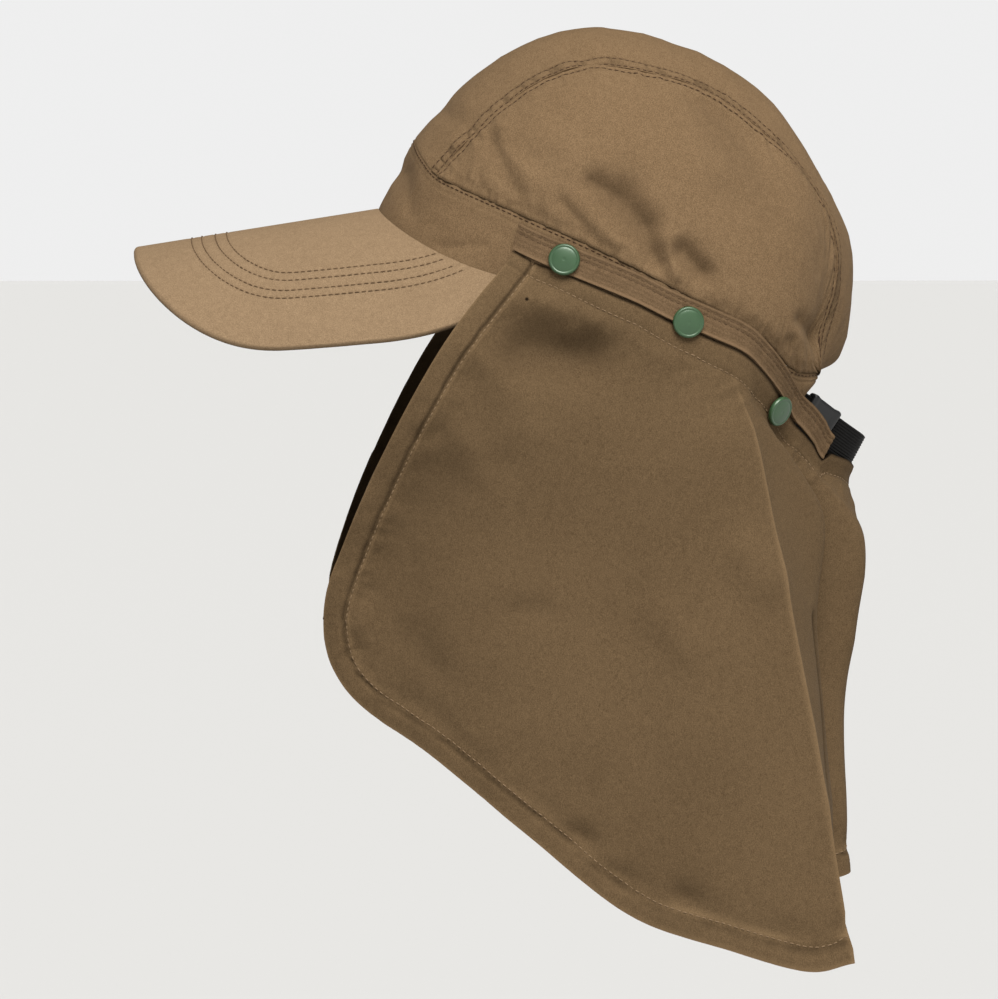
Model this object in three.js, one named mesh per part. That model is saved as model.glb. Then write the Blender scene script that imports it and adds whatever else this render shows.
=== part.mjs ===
// A legionnaire cap: crown of three panels over a front band, arched peak, and a neck flap that
// hangs from a snapped tape. Millimetres, X to the wearer's left, Y backwards, Z up.
// The origin is the middle of the head opening, and the cap tips backwards as it is worn.
import * as THREE from "three";

// Head opening and band
const wornTilt = THREE.MathUtils.degToRad(28); // the band's plane dips this much towards the back
const bandHalfWidth = 80;
const bandHalfLength = 109.5; // from the origin to the middle of the forehead
const bandPlanPower = 2.3; // 2 would be an ellipse
const seamHalfWidth = 79; // the oval where the band meets the crown's panels
const seamHalfLength = 98;
const seamCentre = -12;
const crownHeight = 115; // top of the crown above the band's plane

// Cloth and gaps
const panelThickness = 1.6;
const capeThickness = 1.3;
const tapeThickness = 1.4;
const bandTuck = 1.2; // the band's edge goes this far down behind the peak's root
const seamGap = 0.45; // between two pieces that are sewn edge to edge
const layerGap = 0.35; // between two pieces that lie one on the other

// Peak: an arched sheet, straight from front to back
const peakThickness = 3;
const peakArchRadius = 94;
const peakPitch = THREE.MathUtils.degToRad(9); // the crest falls this much towards the front
const peakReach = 197; // from the origin to the front edge
const peakRoundLength = 80; // the part of it that the rounded front takes
const peakHalfWidth = 83;
const peakPlanPower = 2.9;
const peakCrestRise = 49.5; // height of the crest where it meets the band
const peakCrestRoot = -98; // and how far in front of the origin that is

// Tape and snaps
const tapeWidth = 10.4;
const tapeFrontStation = 5.73;
const tapeRearStation = 16.9;
const snapRadius = 6.2;
const snapHeight = 2.6;

// Neck flap
const capeDrop = 250; // from the origin to its lowest corner
const collarStand = 0.35; // the collar's distance outside the tape's face
const collarFlare = 0.06; // and how much more of it each millimetre down adds

// Strap across the rear opening
const strapWidth = 13.8;
const strapThickness = 1.5;
const buckleLength = 16;
const buckleWall = 1.3;

const headCentre = new THREE.Vector3(0, 0, 0);

const clothColour = 0x937a59;
const peakColour = 0x9e8668;
const capeColour = 0x735f45;
const snapColour = 0x3f7a4c;
const strapColour = 0x141414;

// Plan and height of the band, row by row from the forehead to the middle of the back.
// x and y are shares of bandHalfWidth and bandHalfLength, z shares of crownHeight.
// The first nine rows lie on two ovals, so only the seam's height is told for them.
const frontSeamHeights = [0.262, 0.235, 0.202, 0.17, 0.169, 0.176, 0.184, 0.195, 0.203];
const sideRows = [
  { x: 0.995, y: 0.155, z: 0, seamX: 0.983, seamY: 0.055, seamZ: 0.204 },
  { x: 0.969, y: 0.306, z: 0.004, seamX: 0.963, seamY: 0.219, seamZ: 0.205 },
  { x: 0.912, y: 0.42, z: 0.017, seamX: 0.912, seamY: 0.356, seamZ: 0.203 },
  { x: 0.8, y: 0.507, z: 0.044, seamX: 0.831, seamY: 0.461, seamZ: 0.191 },
  { x: 0.675, y: 0.589, z: 0.044, seamX: 0.731, seamY: 0.557, seamZ: 0.16 },
  { x: 0.562, y: 0.668, z: 0.06, seamX: 0.625, seamY: 0.63, seamZ: 0.162 },
];
const archRows = [
  { x: 0.481, y: 0.7, z: 0.13, seamX: 0.469, seamY: 0.697, seamZ: 0.194 },
  { x: 0.25, y: 0.713, z: 0.131, seamX: 0.244, seamY: 0.717, seamZ: 0.196 },
  { x: 0, y: 0.719, z: 0.129, seamX: 0, seamY: 0.728, seamZ: 0.195 },
];
// The line that the neck flap hangs from leaves the band at the arch and goes round below the strap.
const tailRows = [
  { x: 0.494, y: 0.731 },
  { x: 0.419, y: 0.799 },
  { x: 0.35, y: 0.868 },
  { x: 0.194, y: 0.963 },
  { x: 0, y: 1.008 },
];
const hangFirstStation = 5;
const hangHeights = [
  0.066, 0.063, 0.077, 0.098, 0.103, 0.116, 0.123, 0.096, 0.057, 0.01, -0.011, -0.036, -0.07, -0.052, -0.05,
];

// Top panel: its middle line and its near edge, from the forehead to the back.
const stripRows = [
  { midY: -1.006, midZ: 0.262, edgeX: 0.592, edgeY: -0.862, edgeZ: 0.17 },
  { midY: -0.973, midZ: 0.387, edgeX: 0.578, edgeY: -0.829, edgeZ: 0.322 },
  { midY: -0.909, midZ: 0.565, edgeX: 0.556, edgeY: -0.772, edgeZ: 0.487 },
  { midY: -0.795, midZ: 0.743, edgeX: 0.538, edgeY: -0.694, edgeZ: 0.626 },
  { midY: -0.621, midZ: 0.896, edgeX: 0.528, edgeY: -0.573, edgeZ: 0.748 },
  { midY: -0.393, midZ: 0.978, edgeX: 0.525, edgeY: -0.384, edgeZ: 0.82 },
  { midY: -0.128, midZ: 1, edgeX: 0.522, edgeY: -0.142, edgeZ: 0.863 },
  { midY: 0.137, midZ: 0.954, edgeX: 0.512, edgeY: 0.1, edgeZ: 0.832 },
  { midY: 0.375, midZ: 0.828, edgeX: 0.494, edgeY: 0.301, edgeZ: 0.774 },
  { midY: 0.598, midZ: 0.668, edgeX: 0.47, edgeY: 0.475, edgeZ: 0.67 },
  { midY: 0.73, midZ: 0.465, edgeX: 0.452, edgeY: 0.598, edgeZ: 0.496 },
  { midY: 0.774, midZ: 0.287, edgeX: 0.456, edgeY: 0.64, edgeZ: 0.32 },
  { midY: 0.728, midZ: 0.195, edgeX: 0.469, edgeY: 0.697, edgeZ: 0.194 },
];
const stripFrontStation = 3; // where the side panels begin and end on the band's seam
const stripRearStation = 15;

// Hollows pressed into the side panels: middle, reach along and across, turn and depth.
// y is a share of bandHalfLength and z of crownHeight, the rest is in millimetres and degrees.
const dents = [
  { y: -0.3, z: 0.5, along: 22, across: 12, turn: 62, depth: 4.5 },
  { y: -0.72, z: 0.42, along: 24, across: 6, turn: 52, depth: 2.2 },
  { y: 0.1, z: 0.42, along: 18, across: 9, turn: 35, depth: 3 },
  { y: 0.3, z: 0.66, along: 20, across: 7, turn: -40, depth: 2.6 },
  { y: 0.56, z: 0.28, along: 15, across: 6, turn: 75, depth: 2.6 },
];

// Neck flap, one row for each line that runs from its top to its hem, from the front edge to the
// fold and from the fold to the middle of the back. top is a station of the line that it hangs
// from, and collar the millimetres below it that stay flat against the band. The other columns are
// shares of bandHalfWidth, bandHalfLength and capeDrop.
const sideCapeTops = [
  { top: 5.73, collar: 2, shoulderX: 1.1, shoulderY: -0.685, shoulderZ: -0.024 },
  { top: 5.95, collar: 2, shoulderX: 1.1, shoulderY: -0.625, shoulderZ: -0.034 },
  { top: 6.2, collar: 3, shoulderX: 1.095, shoulderY: -0.55, shoulderZ: -0.046 },
  { top: 6.8, collar: 5, shoulderX: 1.085, shoulderY: -0.378, shoulderZ: -0.072 },
  { top: 7.4, collar: 7, shoulderX: 1.07, shoulderY: -0.192, shoulderZ: -0.096 },
  { top: 8, collar: 8, shoulderX: 1.065, shoulderY: 0, shoulderZ: -0.12 },
  { top: 9, collar: 9, shoulderX: 1.055, shoulderY: 0.184, shoulderZ: -0.14 },
  { top: 10, collar: 9, shoulderX: 1.025, shoulderY: 0.347, shoulderZ: -0.15 },
  { top: 10.8, collar: 9, shoulderX: 0.975, shoulderY: 0.443, shoulderZ: -0.152 },
];
const sideCapeFalls = [
  { waistX: 1.013, waistY: -0.955, waistZ: -0.253, hemX: 0.85, hemY: -1.12, hemZ: -0.446 },
  { waistX: 1.01, waistY: -0.865, waistZ: -0.28, hemX: 0.838, hemY: -1.09, hemZ: -0.526 },
  { waistX: 1, waistY: -0.76, waistZ: -0.304, hemX: 0.86, hemY: -0.955, hemZ: -0.594 },
  { waistX: 1.05, waistY: -0.54, waistZ: -0.34, hemX: 0.925, hemY: -0.69, hemZ: -0.668 },
  { waistX: 1.06, waistY: -0.3, waistZ: -0.376, hemX: 0.985, hemY: -0.365, hemZ: -0.786 },
  { waistX: 1.055, waistY: -0.04, waistZ: -0.404, hemX: 1, hemY: 0, hemZ: -0.913 },
  { waistX: 1.065, waistY: 0.2, waistZ: -0.424, hemX: 1.03, hemY: 0.365, hemZ: -0.968 },
  { waistX: 1.04, waistY: 0.4, waistZ: -0.436, hemX: 1.015, hemY: 0.64, hemZ: -1.002 },
  { waistX: 0.975, waistY: 0.575, waistZ: -0.44, hemX: 0.975, hemY: 0.805, hemZ: -0.992 },
];
const backCapeTops = [
  sideCapeTops[sideCapeTops.length - 1],
  { top: 12.4, collar: 12, shoulderX: 0.775, shoulderY: 0.54, shoulderZ: -0.17 },
  { top: 14.1, collar: 12, shoulderX: 0.556, shoulderY: 0.717, shoulderZ: -0.28 },
  { top: 15, collar: 6, shoulderX: 0.46, shoulderY: 0.68, shoulderZ: -0.3 },
  { top: 16, collar: 5, shoulderX: 0.405, shoulderY: 0.78, shoulderZ: -0.315 },
  { top: 17, collar: 4, shoulderX: 0.33, shoulderY: 0.885, shoulderZ: -0.33 },
  { top: 18, collar: 4, shoulderX: 0.15, shoulderY: 0.895, shoulderZ: -0.335 },
  { top: 19, collar: 4, shoulderX: 0, shoulderY: 0.9, shoulderZ: -0.338 },
];
const backCapeFalls = [
  sideCapeFalls[sideCapeFalls.length - 1],
  { waistX: 0.775, waistY: 0.645, waistZ: -0.448, hemX: 0.775, hemY: 0.785, hemZ: -0.955 },
  { waistX: 0.56, waistY: 0.7, waistZ: -0.472, hemX: 0.575, hemY: 0.765, hemZ: -0.915 },
  { waistX: 0.45, waistY: 0.61, waistZ: -0.5, hemX: 0.475, hemY: 0.67, hemZ: -0.9 },
  { waistX: 0.385, waistY: 0.71, waistZ: -0.56, hemX: 0.39, hemY: 0.765, hemZ: -0.89 },
  { waistX: 0.31, waistY: 0.815, waistZ: -0.62, hemX: 0.3, hemY: 0.85, hemZ: -0.882 },
  { waistX: 0.14, waistY: 0.83, waistZ: -0.62, hemX: 0.15, hemY: 0.82, hemZ: -0.875 },
  { waistX: 0, waistY: 0.835, waistZ: -0.62, hemX: 0, hemY: 0.79, hemZ: -0.868 },
];

// Snaps: the station that each sits at, how far above the flap's top line, and how far it leans up.
const snapRows = [
  { station: 6.8, rise: 4.8, lean: 3 },
  { station: 9.37, rise: 2.1, lean: 3 },
  { station: 13.1, rise: -5, lean: 0 },
];

// Webbing, from its near end to the middle of the back: shares of bandHalfWidth and
// bandHalfLength, and the height of its top edge as a share of crownHeight.
const strapRows = [
  { x: 0.462, y: 0.662, z: 0.115 },
  { x: 0.416, y: 0.723, z: 0.109 },
  { x: 0.371, y: 0.784, z: 0.1 },
  { x: 0.325, y: 0.845, z: 0.093 },
  { x: 0.276, y: 0.909, z: 0.086 },
  { x: 0.15, y: 0.985, z: 0.08 },
  { x: 0, y: 1.008, z: 0.077 },
];
const buckleStation = 2;

// A point of the cap's own frame, whose floor is the plane of the head opening, put as it is worn.
function worn(x, y, z) {
  const alongBack = y * Math.cos(wornTilt) + z * Math.sin(wornTilt);
  const up = z * Math.cos(wornTilt) - y * Math.sin(wornTilt);
  return new THREE.Vector3(x, alongBack, up);
}

// Every column of a table at a place between its rows, on a smooth curve through them.
function rowAt(rows, place) {
  const last = rows.length - 1;
  const first = THREE.MathUtils.clamp(Math.floor(place), 0, last - 1);
  const t = place - first;
  const row = {};
  for (const column of Object.keys(rows[0])) {
    const start = rows[first][column];
    const end = rows[first + 1][column];
    const before = first > 0 ? rows[first - 1][column] : 2 * start - end;
    const after = first + 1 < last ? rows[first + 2][column] : 2 * end - start;
    const slopeIn = (end - before) / 2;
    const slopeOut = (after - start) / 2;
    const rise = end - start;
    row[column] =
      start + t * (slopeIn + t * (3 * rise - 2 * slopeIn - slopeOut + t * (slopeIn + slopeOut - 2 * rise)));
  }
  return row;
}

// The same rows for both sides of the cap, from the far end through the middle row to the near end.
// mirroredColumns change sign on the far side.
function bothSides(rowsFromMiddle, mirroredColumns) {
  const far = rowsFromMiddle.slice(1).map((row) => {
    const copy = { ...row };
    for (const column of mirroredColumns) copy[column] = -row[column];
    return copy;
  });
  return [...far.reverse(), ...rowsFromMiddle];
}

// Point of an oval of the given power, a share of a right angle round from its front.
function ovalPoint(halfWidth, halfLength, power, share) {
  const angle = (share * Math.PI) / 2;
  return {
    x: halfWidth * Math.pow(Math.sin(angle), 2 / power),
    y: -halfLength * Math.pow(Math.max(Math.cos(angle), 0), 2 / power),
  };
}

// How far the peak's arch has fallen at a distance from its crest.
function archFall(radius, x) {
  return radius - Math.sqrt(radius * radius - x * x);
}

// Height of the peak over a point of the cap's own floor, at a depth under its upper face.
function peakOverFloor(x, y, depth) {
  const slope = Math.tan(peakPitch);
  const cosine = Math.cos(wornTilt);
  const sine = Math.sin(wornTilt);
  const crest = peakCrestRise - depth - slope * peakCrestRoot + (slope * cosine + sine) * y;
  return (crest - archFall(peakArchRadius - depth, x)) / (cosine - slope * sine);
}

// Rows of the band in millimetres, from the forehead to the back: base and seam.
function bandHalfRows() {
  const front = frontSeamHeights.map((height, index) => {
    const share = index / (frontSeamHeights.length - 1);
    const base = ovalPoint(bandHalfWidth, bandHalfLength, bandPlanPower, share);
    const seam = ovalPoint(seamHalfWidth, seamHalfLength, bandPlanPower, share);
    const floor = Math.min(0, peakOverFloor(base.x, base.y, 0)) - bandTuck;
    const seamY = seam.y + seamCentre;
    return { x: base.x, y: base.y, z: floor, seamX: seam.x, seamY, seamZ: height * crownHeight };
  });
  const rear = [...sideRows, ...archRows].map((row) => ({
    x: row.x * bandHalfWidth,
    y: row.y * bandHalfLength,
    z: row.z * crownHeight,
    seamX: row.seamX * bandHalfWidth,
    seamY: row.seamY * bandHalfLength,
    seamZ: row.seamZ * crownHeight,
  }));
  return [...front, ...rear];
}

// Rows of the line that the neck flap hangs from, in millimetres, with the band that it lies on.
// Past the band it keeps a straight wall of the same height, and one row past the middle of the
// back lets it cross there squarely.
function hangRows() {
  const lastSide = frontSeamHeights.length + sideRows.length;
  const onBand = bandHalfRows().slice(hangFirstStation, lastSide);
  const tail = tailRows.map((row) => {
    const x = row.x * bandHalfWidth;
    const y = row.y * bandHalfLength;
    return { x, y, z: 0, seamX: x, seamY: y, seamZ: tapeWidth };
  });
  const rows = [...onBand, ...tail].map((row, index) => {
    return { ...row, hang: hangHeights[index] * crownHeight };
  });
  const beforeMiddle = rows[rows.length - 2];
  return [...rows, { ...beforeMiddle, x: -beforeMiddle.x, seamX: -beforeMiddle.seamX }];
}

// Normals of a grid of points, turned away from the point named core. Each is lengthened so that
// a wall drawn along it keeps its thickness across a fold.
function wallDirections(grid, core, closed) {
  const columns = grid.length;
  const rows = grid[0].length;
  const spans = closed ? columns : columns - 1;
  const cellNormals = grid.map(() => []);
  const normals = grid.map((column) => column.map(() => new THREE.Vector3()));
  for (let i = 0; i < spans; i++) {
    const next = (i + 1) % columns;
    for (let j = 0; j < rows - 1; j++) {
      const along = grid[next][j + 1].clone().sub(grid[i][j]);
      const across = grid[i][j + 1].clone().sub(grid[next][j]);
      const normal = along.cross(across).normalize();
      cellNormals[i][j] = normal;
      for (const corner of [normals[i][j], normals[next][j], normals[next][j + 1], normals[i][j + 1]]) {
        corner.add(normal);
      }
    }
  }
  let facing = 0;
  grid.forEach((column, i) =>
    column.forEach((point, j) => {
      facing += normals[i][j].normalize().dot(point.clone().sub(core));
    }),
  );
  normals.forEach((column, i) =>
    column.forEach((normal, j) => {
      const cell = cellNormals[Math.min(i, spans - 1)][Math.min(j, rows - 2)];
      normal.multiplyScalar(Math.sign(facing) / Math.max(normal.dot(cell), 0.7));
    }),
  );
  return normals;
}

// Closed wall of a thickness behind an outer face, which is a grid of points.
function wall(grid, thickness, core, closed = false) {
  const directions = wallDirections(grid, core, closed);
  const behind = grid.map((column, i) =>
    column.map((point, j) => point.clone().addScaledVector(directions[i][j], -thickness)),
  );
  return wallBetween(grid, behind, closed);
}

// Closed body between two faces, which are grids of the same size. A closed grid joins its last
// column to its first.
function wallBetween(front, behind, closed = false) {
  const columns = front.length;
  const rows = front[0].length;
  const spans = closed ? columns : columns - 1;
  const positions = [...front.flat(), ...behind.flat()].flatMap((point) => point.toArray());
  const outer = (i, j) => (i % columns) * rows + j;
  const inner = (i, j) => columns * rows + outer(i, j);
  const faces = [];
  const quad = (a, b, c, d) => faces.push(a, b, c, a, c, d);
  for (let i = 0; i < spans; i++) {
    for (let j = 0; j < rows - 1; j++) {
      quad(outer(i, j), outer(i + 1, j), outer(i + 1, j + 1), outer(i, j + 1));
      quad(inner(i, j), inner(i, j + 1), inner(i + 1, j + 1), inner(i + 1, j));
    }
    quad(outer(i, 0), inner(i, 0), inner(i + 1, 0), outer(i + 1, 0));
    quad(outer(i, rows - 1), outer(i + 1, rows - 1), inner(i + 1, rows - 1), inner(i, rows - 1));
  }
  for (let j = 0; j < rows - 1 && !closed; j++) {
    quad(outer(0, j), outer(0, j + 1), inner(0, j + 1), inner(0, j));
    quad(outer(spans, j), inner(spans, j), inner(spans, j + 1), outer(spans, j + 1));
  }
  const geometry = new THREE.BufferGeometry();
  geometry.setAttribute("position", new THREE.Float32BufferAttribute(positions, 3));
  geometry.setIndex(faces);
  return facingOut(geometry);
}

// Turns a closed body's faces outwards.
function facingOut(geometry) {
  const at = geometry.attributes.position;
  const index = geometry.index.array;
  const corner = [new THREE.Vector3(), new THREE.Vector3(), new THREE.Vector3()];
  let volume = 0;
  for (let k = 0; k < index.length; k += 3) {
    corner.forEach((point, n) => point.fromBufferAttribute(at, index[k + n]));
    volume += corner[0].dot(corner[1].cross(corner[2]));
  }
  if (volume < 0) {
    for (let k = 0; k < index.length; k += 3) {
      const kept = index[k + 1];
      index[k + 1] = index[k + 2];
      index[k + 2] = kept;
    }
  }
  geometry.computeVertexNormals();
  return geometry;
}

// Grid of points from a surface of two shares, each from 0 to 1.
function gridOf(surface, columns, rows) {
  return Array.from({ length: columns + 1 }, (_, i) =>
    Array.from({ length: rows + 1 }, (_, j) => surface(i / columns, j / rows)),
  );
}

function mix(from, to, share) {
  return from + (to - from) * share;
}

function mesh(name, geometry, colour) {
  const material = new THREE.MeshStandardMaterial({ color: colour, roughness: 0.85 });
  const made = new THREE.Mesh(geometry, material);
  made.name = name;
  return made;
}

// Band: a ring from the head opening's edge up to the crown's seam, arched over the rear opening.
function headbandPanel() {
  const half = bandHalfRows();
  const rows = bothSides(half, ["x", "seamX"]);
  const stations = rows.length - 1;
  const columnsPerStation = 2;
  const columns = stations * columnsPerStation;
  const levels = 3;
  const grid = [];
  for (let i = 0; i < columns; i++) {
    const row = rowAt(rows, i / columnsPerStation);
    const height = row.seamZ - row.z;
    const points = [];
    for (let j = 0; j <= levels; j++) {
      const share = (j / levels) * (1 - seamGap / 2 / height);
      const x = mix(row.x, row.seamX, share);
      const y = mix(row.y, row.seamY, share);
      points.push(worn(x, y, mix(row.z, row.seamZ, share)));
    }
    grid.push(points);
  }
  return mesh("headband_panel", wall(grid, panelThickness, headCentre, true), clothColour);
}

// Middle line and near edge of the top panel in millimetres, at a share of its length.
function stripRow(share) {
  const row = rowAt(stripRows, share * (stripRows.length - 1));
  return {
    midY: row.midY * bandHalfLength,
    midZ: row.midZ * crownHeight,
    edgeX: row.edgeX * bandHalfWidth,
    edgeY: row.edgeY * bandHalfLength,
    edgeZ: row.edgeZ * crownHeight,
  };
}

// Point of the top panel at a share of its length and a reach from its middle line to its edge. It
// falls with the square of the reach, and its two ends bend to the band's seam.
function stripPoint(share, reach) {
  const half = bandHalfRows();
  const bendLength = 0.16;
  const plain = (along) => {
    const row = stripRow(along);
    const fall = reach * reach;
    const y = mix(row.midY, row.edgeY, fall);
    return new THREE.Vector3(reach * row.edgeX, y, mix(row.midZ, row.edgeZ, fall));
  };
  const point = plain(share);
  const ends = [
    { distance: share, end: 0, station: stripFrontStation * Math.abs(reach) },
    { distance: 1 - share, end: 1, station: mix(half.length - 1, stripRearStation, Math.abs(reach)) },
  ];
  for (const { distance, end, station } of ends) {
    const hold = Math.max(1 - distance / bendLength, 0) ** 2;
    const row = rowAt(half, station);
    const seam = new THREE.Vector3(Math.sign(reach) * row.seamX, row.seamY, row.seamZ);
    point.addScaledVector(seam.sub(plain(end)), hold);
  }
  return point;
}

function centrePanel() {
  const surface = (along, across) => {
    const share = mix(0.003, 0.997, along);
    const reach = (2 * across - 1) * (1 - seamGap / stripRow(share).edgeX);
    const point = stripPoint(share, reach);
    return worn(point.x, point.y, point.z);
  };
  return mesh("centre_panel", wall(gridOf(surface, 26, 8), panelThickness, headCentre), clothColour);
}

// Depth of the hollows at a point of the cap's own frame.
function dentDepth(point) {
  let depth = 0;
  for (const dent of dents) {
    const turn = THREE.MathUtils.degToRad(dent.turn);
    const y = point.y - dent.y * bandHalfLength;
    const z = point.z - dent.z * crownHeight;
    const along = (y * Math.cos(turn) + z * Math.sin(turn)) / dent.along;
    const across = (z * Math.cos(turn) - y * Math.sin(turn)) / dent.across;
    depth += dent.depth * Math.exp(-along * along - across * across);
  }
  return depth;
}

// Side panel: curved sections from the band's seam up to the top panel's edge. They leave the
// band as it stands and reach the top panel along its own slope.
function sidePanel(name, side) {
  const half = bandHalfRows();
  const handle = 0.39; // share of a section's chord, as on a quarter circle
  const surface = (along, up) => {
    const share = mix(0.012, 0.988, along);
    const seam = rowAt(half, mix(stripFrontStation, stripRearStation, share));
    const foot = new THREE.Vector3(seam.seamX, seam.seamY, seam.seamZ);
    const head = stripPoint(share, 1);
    const chord = foot.distanceTo(head);
    const rearBulge = mix(0.12, 0.5, share * share);
    const rise = new THREE.Vector3(seam.seamX - seam.x, seam.seamY - seam.y, seam.seamZ - seam.z);
    rise.normalize();
    const outwards = new THREE.Vector3(foot.x, foot.y - seamCentre, 0).normalize();
    rise.addScaledVector(outwards, rearBulge).normalize();
    const slope = head.clone().sub(stripPoint(share, 0.98));
    const curve = new THREE.CubicBezierCurve3(
      foot,
      foot.clone().addScaledVector(rise, handle * chord),
      head.clone().addScaledVector(slope.normalize(), handle * chord),
      head,
    );
    const margin = seamGap / 2 / chord;
    const point = curve.getPoint(mix(margin, 1 - margin, up));
    const inwards = outwards.clone().multiplyScalar(-1).add(new THREE.Vector3(0, 0, -0.6 * up)).normalize();
    const hold = Math.sin(Math.PI * up) ** 0.5;
    point.addScaledVector(inwards, hold * dentDepth(point));
    return worn(side * point.x, point.y, point.z);
  };
  return mesh(name, wall(gridOf(surface, 24, 9), panelThickness, headCentre), clothColour);
}

// Peak: its faces lie on two cylinders about one axis. Sections run from the band to the free edge.
function peak() {
  const cornerShare = 0.766; // the peak's corners, as a share of a right angle round the band
  const corner = { x: 0.975 * bandHalfWidth, y: -0.395 * bandHalfLength };
  const bulge = { x: 1.05 * peakHalfWidth, y: -0.62 * bandHalfLength };
  const roundShare = 0.68; // the part of the sections that ends on the rounded front
  const face = (depth) => (across, outwards) => {
    const place = 2 * across - 1;
    const side = Math.sign(place) || 1;
    const share = Math.abs(place);
    const rootWidth = bandHalfWidth + layerGap;
    const root = ovalPoint(rootWidth, bandHalfLength + layerGap, bandPlanPower, share * cornerShare);
    const start = worn(root.x, root.y, peakOverFloor(root.x, root.y, depth));
    let end = ovalPoint(peakHalfWidth, peakRoundLength, peakPlanPower, Math.min(share / roundShare, 1));
    end.y -= peakReach - peakRoundLength;
    if (share > roundShare) {
      const t = (share - roundShare) / (1 - roundShare);
      end = {
        x: mix(mix(end.x, bulge.x, t), mix(bulge.x, corner.x, t), t),
        y: mix(mix(end.y, bulge.y, t), mix(bulge.y, corner.y, t), t),
      };
    }
    const radius = peakArchRadius - depth;
    const angle = mix(Math.asin(start.x / radius), Math.asin(end.x / peakArchRadius), outwards);
    const x = radius * Math.sin(angle);
    const y = mix(start.y, end.y, outwards);
    const crest = peakCrestRise - depth + Math.tan(peakPitch) * (y - peakCrestRoot);
    return new THREE.Vector3(side * x, y, crest - archFall(radius, x));
  };
  const upper = gridOf(face(0), 40, 8);
  const lower = gridOf(face(peakThickness), 40, 8);
  return mesh("peak", wallBetween(upper, lower), peakColour);
}

// Point over the band at a station of the hang line and a height above it, stood off the band by
// a layer's place, with the direction that it faces.
function hangPoint(station, side, rise, extra = 0) {
  const rows = hangRows();
  const step = 0.02;
  const over = (place) => {
    const row = rowAt(rows, place);
    const height = row.hang + rise;
    const share = THREE.MathUtils.clamp((height - row.z) / (row.seamZ - row.z), 0, 1);
    return { x: mix(row.x, row.seamX, share), y: mix(row.y, row.seamY, share), z: height };
  };
  const place = station - hangFirstStation;
  const here = over(place);
  const ahead = over(place + step);
  const behind = over(place - step);
  const direction = new THREE.Vector2(ahead.x - behind.x, ahead.y - behind.y).normalize();
  const standOff = tapeThickness + layerGap + extra;
  return {
    x: side * (here.x + direction.y * standOff),
    y: here.y - direction.x * standOff,
    z: here.z,
    outX: side * direction.y,
    outY: -direction.x,
  };
}

// Tape: a band of constant height along the hang line.
function snapTape(name, side) {
  const surface = (along, up) => {
    const station = mix(tapeFrontStation, tapeRearStation, along);
    const point = hangPoint(station, side, seamGap + up * tapeWidth);
    return worn(point.x, point.y, point.z);
  };
  return mesh(name, wall(gridOf(surface, 40, 1), tapeThickness, headCentre), clothColour);
}

// Neck flap: lines that run from the tape over collar, shoulder and waist to the hem, on both
// sides, with a sharp fold where the side turns into the back.
function cape() {
  const columnsPerRow = 2;
  const stepsPerLine = 14;
  const capeLine = (row, side) => {
    const line = [0, -row.collar].map((rise) => {
      const hang = hangPoint(row.top, side, rise, collarStand - rise * collarFlare);
      return worn(hang.x, hang.y, hang.z);
    });
    for (const level of ["shoulder", "waist", "hem"]) {
      const x = side * row[`${level}X`] * bandHalfWidth;
      line.push(new THREE.Vector3(x, row[`${level}Y`] * bandHalfLength, row[`${level}Z`] * capeDrop));
    }
    return new THREE.CatmullRomCurve3(line).getPoints(stepsPerLine);
  };
  const panelLines = (tops, falls, side) => {
    const rows = tops.map((row, index) => ({ ...row, ...falls[index] }));
    const columns = (rows.length - 1) * columnsPerRow;
    return Array.from({ length: columns + 1 }, (_, i) => capeLine(rowAt(rows, i / columnsPerRow), side));
  };
  const grid = [
    ...panelLines(sideCapeTops, sideCapeFalls, 1),
    ...panelLines(backCapeTops, backCapeFalls, 1).slice(1),
    ...panelLines(backCapeTops, backCapeFalls, -1).reverse().slice(1),
    ...panelLines(sideCapeTops, sideCapeFalls, -1).reverse().slice(1),
  ];
  return mesh("cape", wall(grid, capeThickness, headCentre), capeColour);
}

// What a snap is pressed on: the tape's face above the hang line, and the flap's collar below it.
function snapBed(station, side, rise) {
  const point = hangPoint(station, side, rise, rise < 0 ? collarStand - rise * collarFlare : 0);
  return worn(point.x, point.y, point.z);
}

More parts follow.
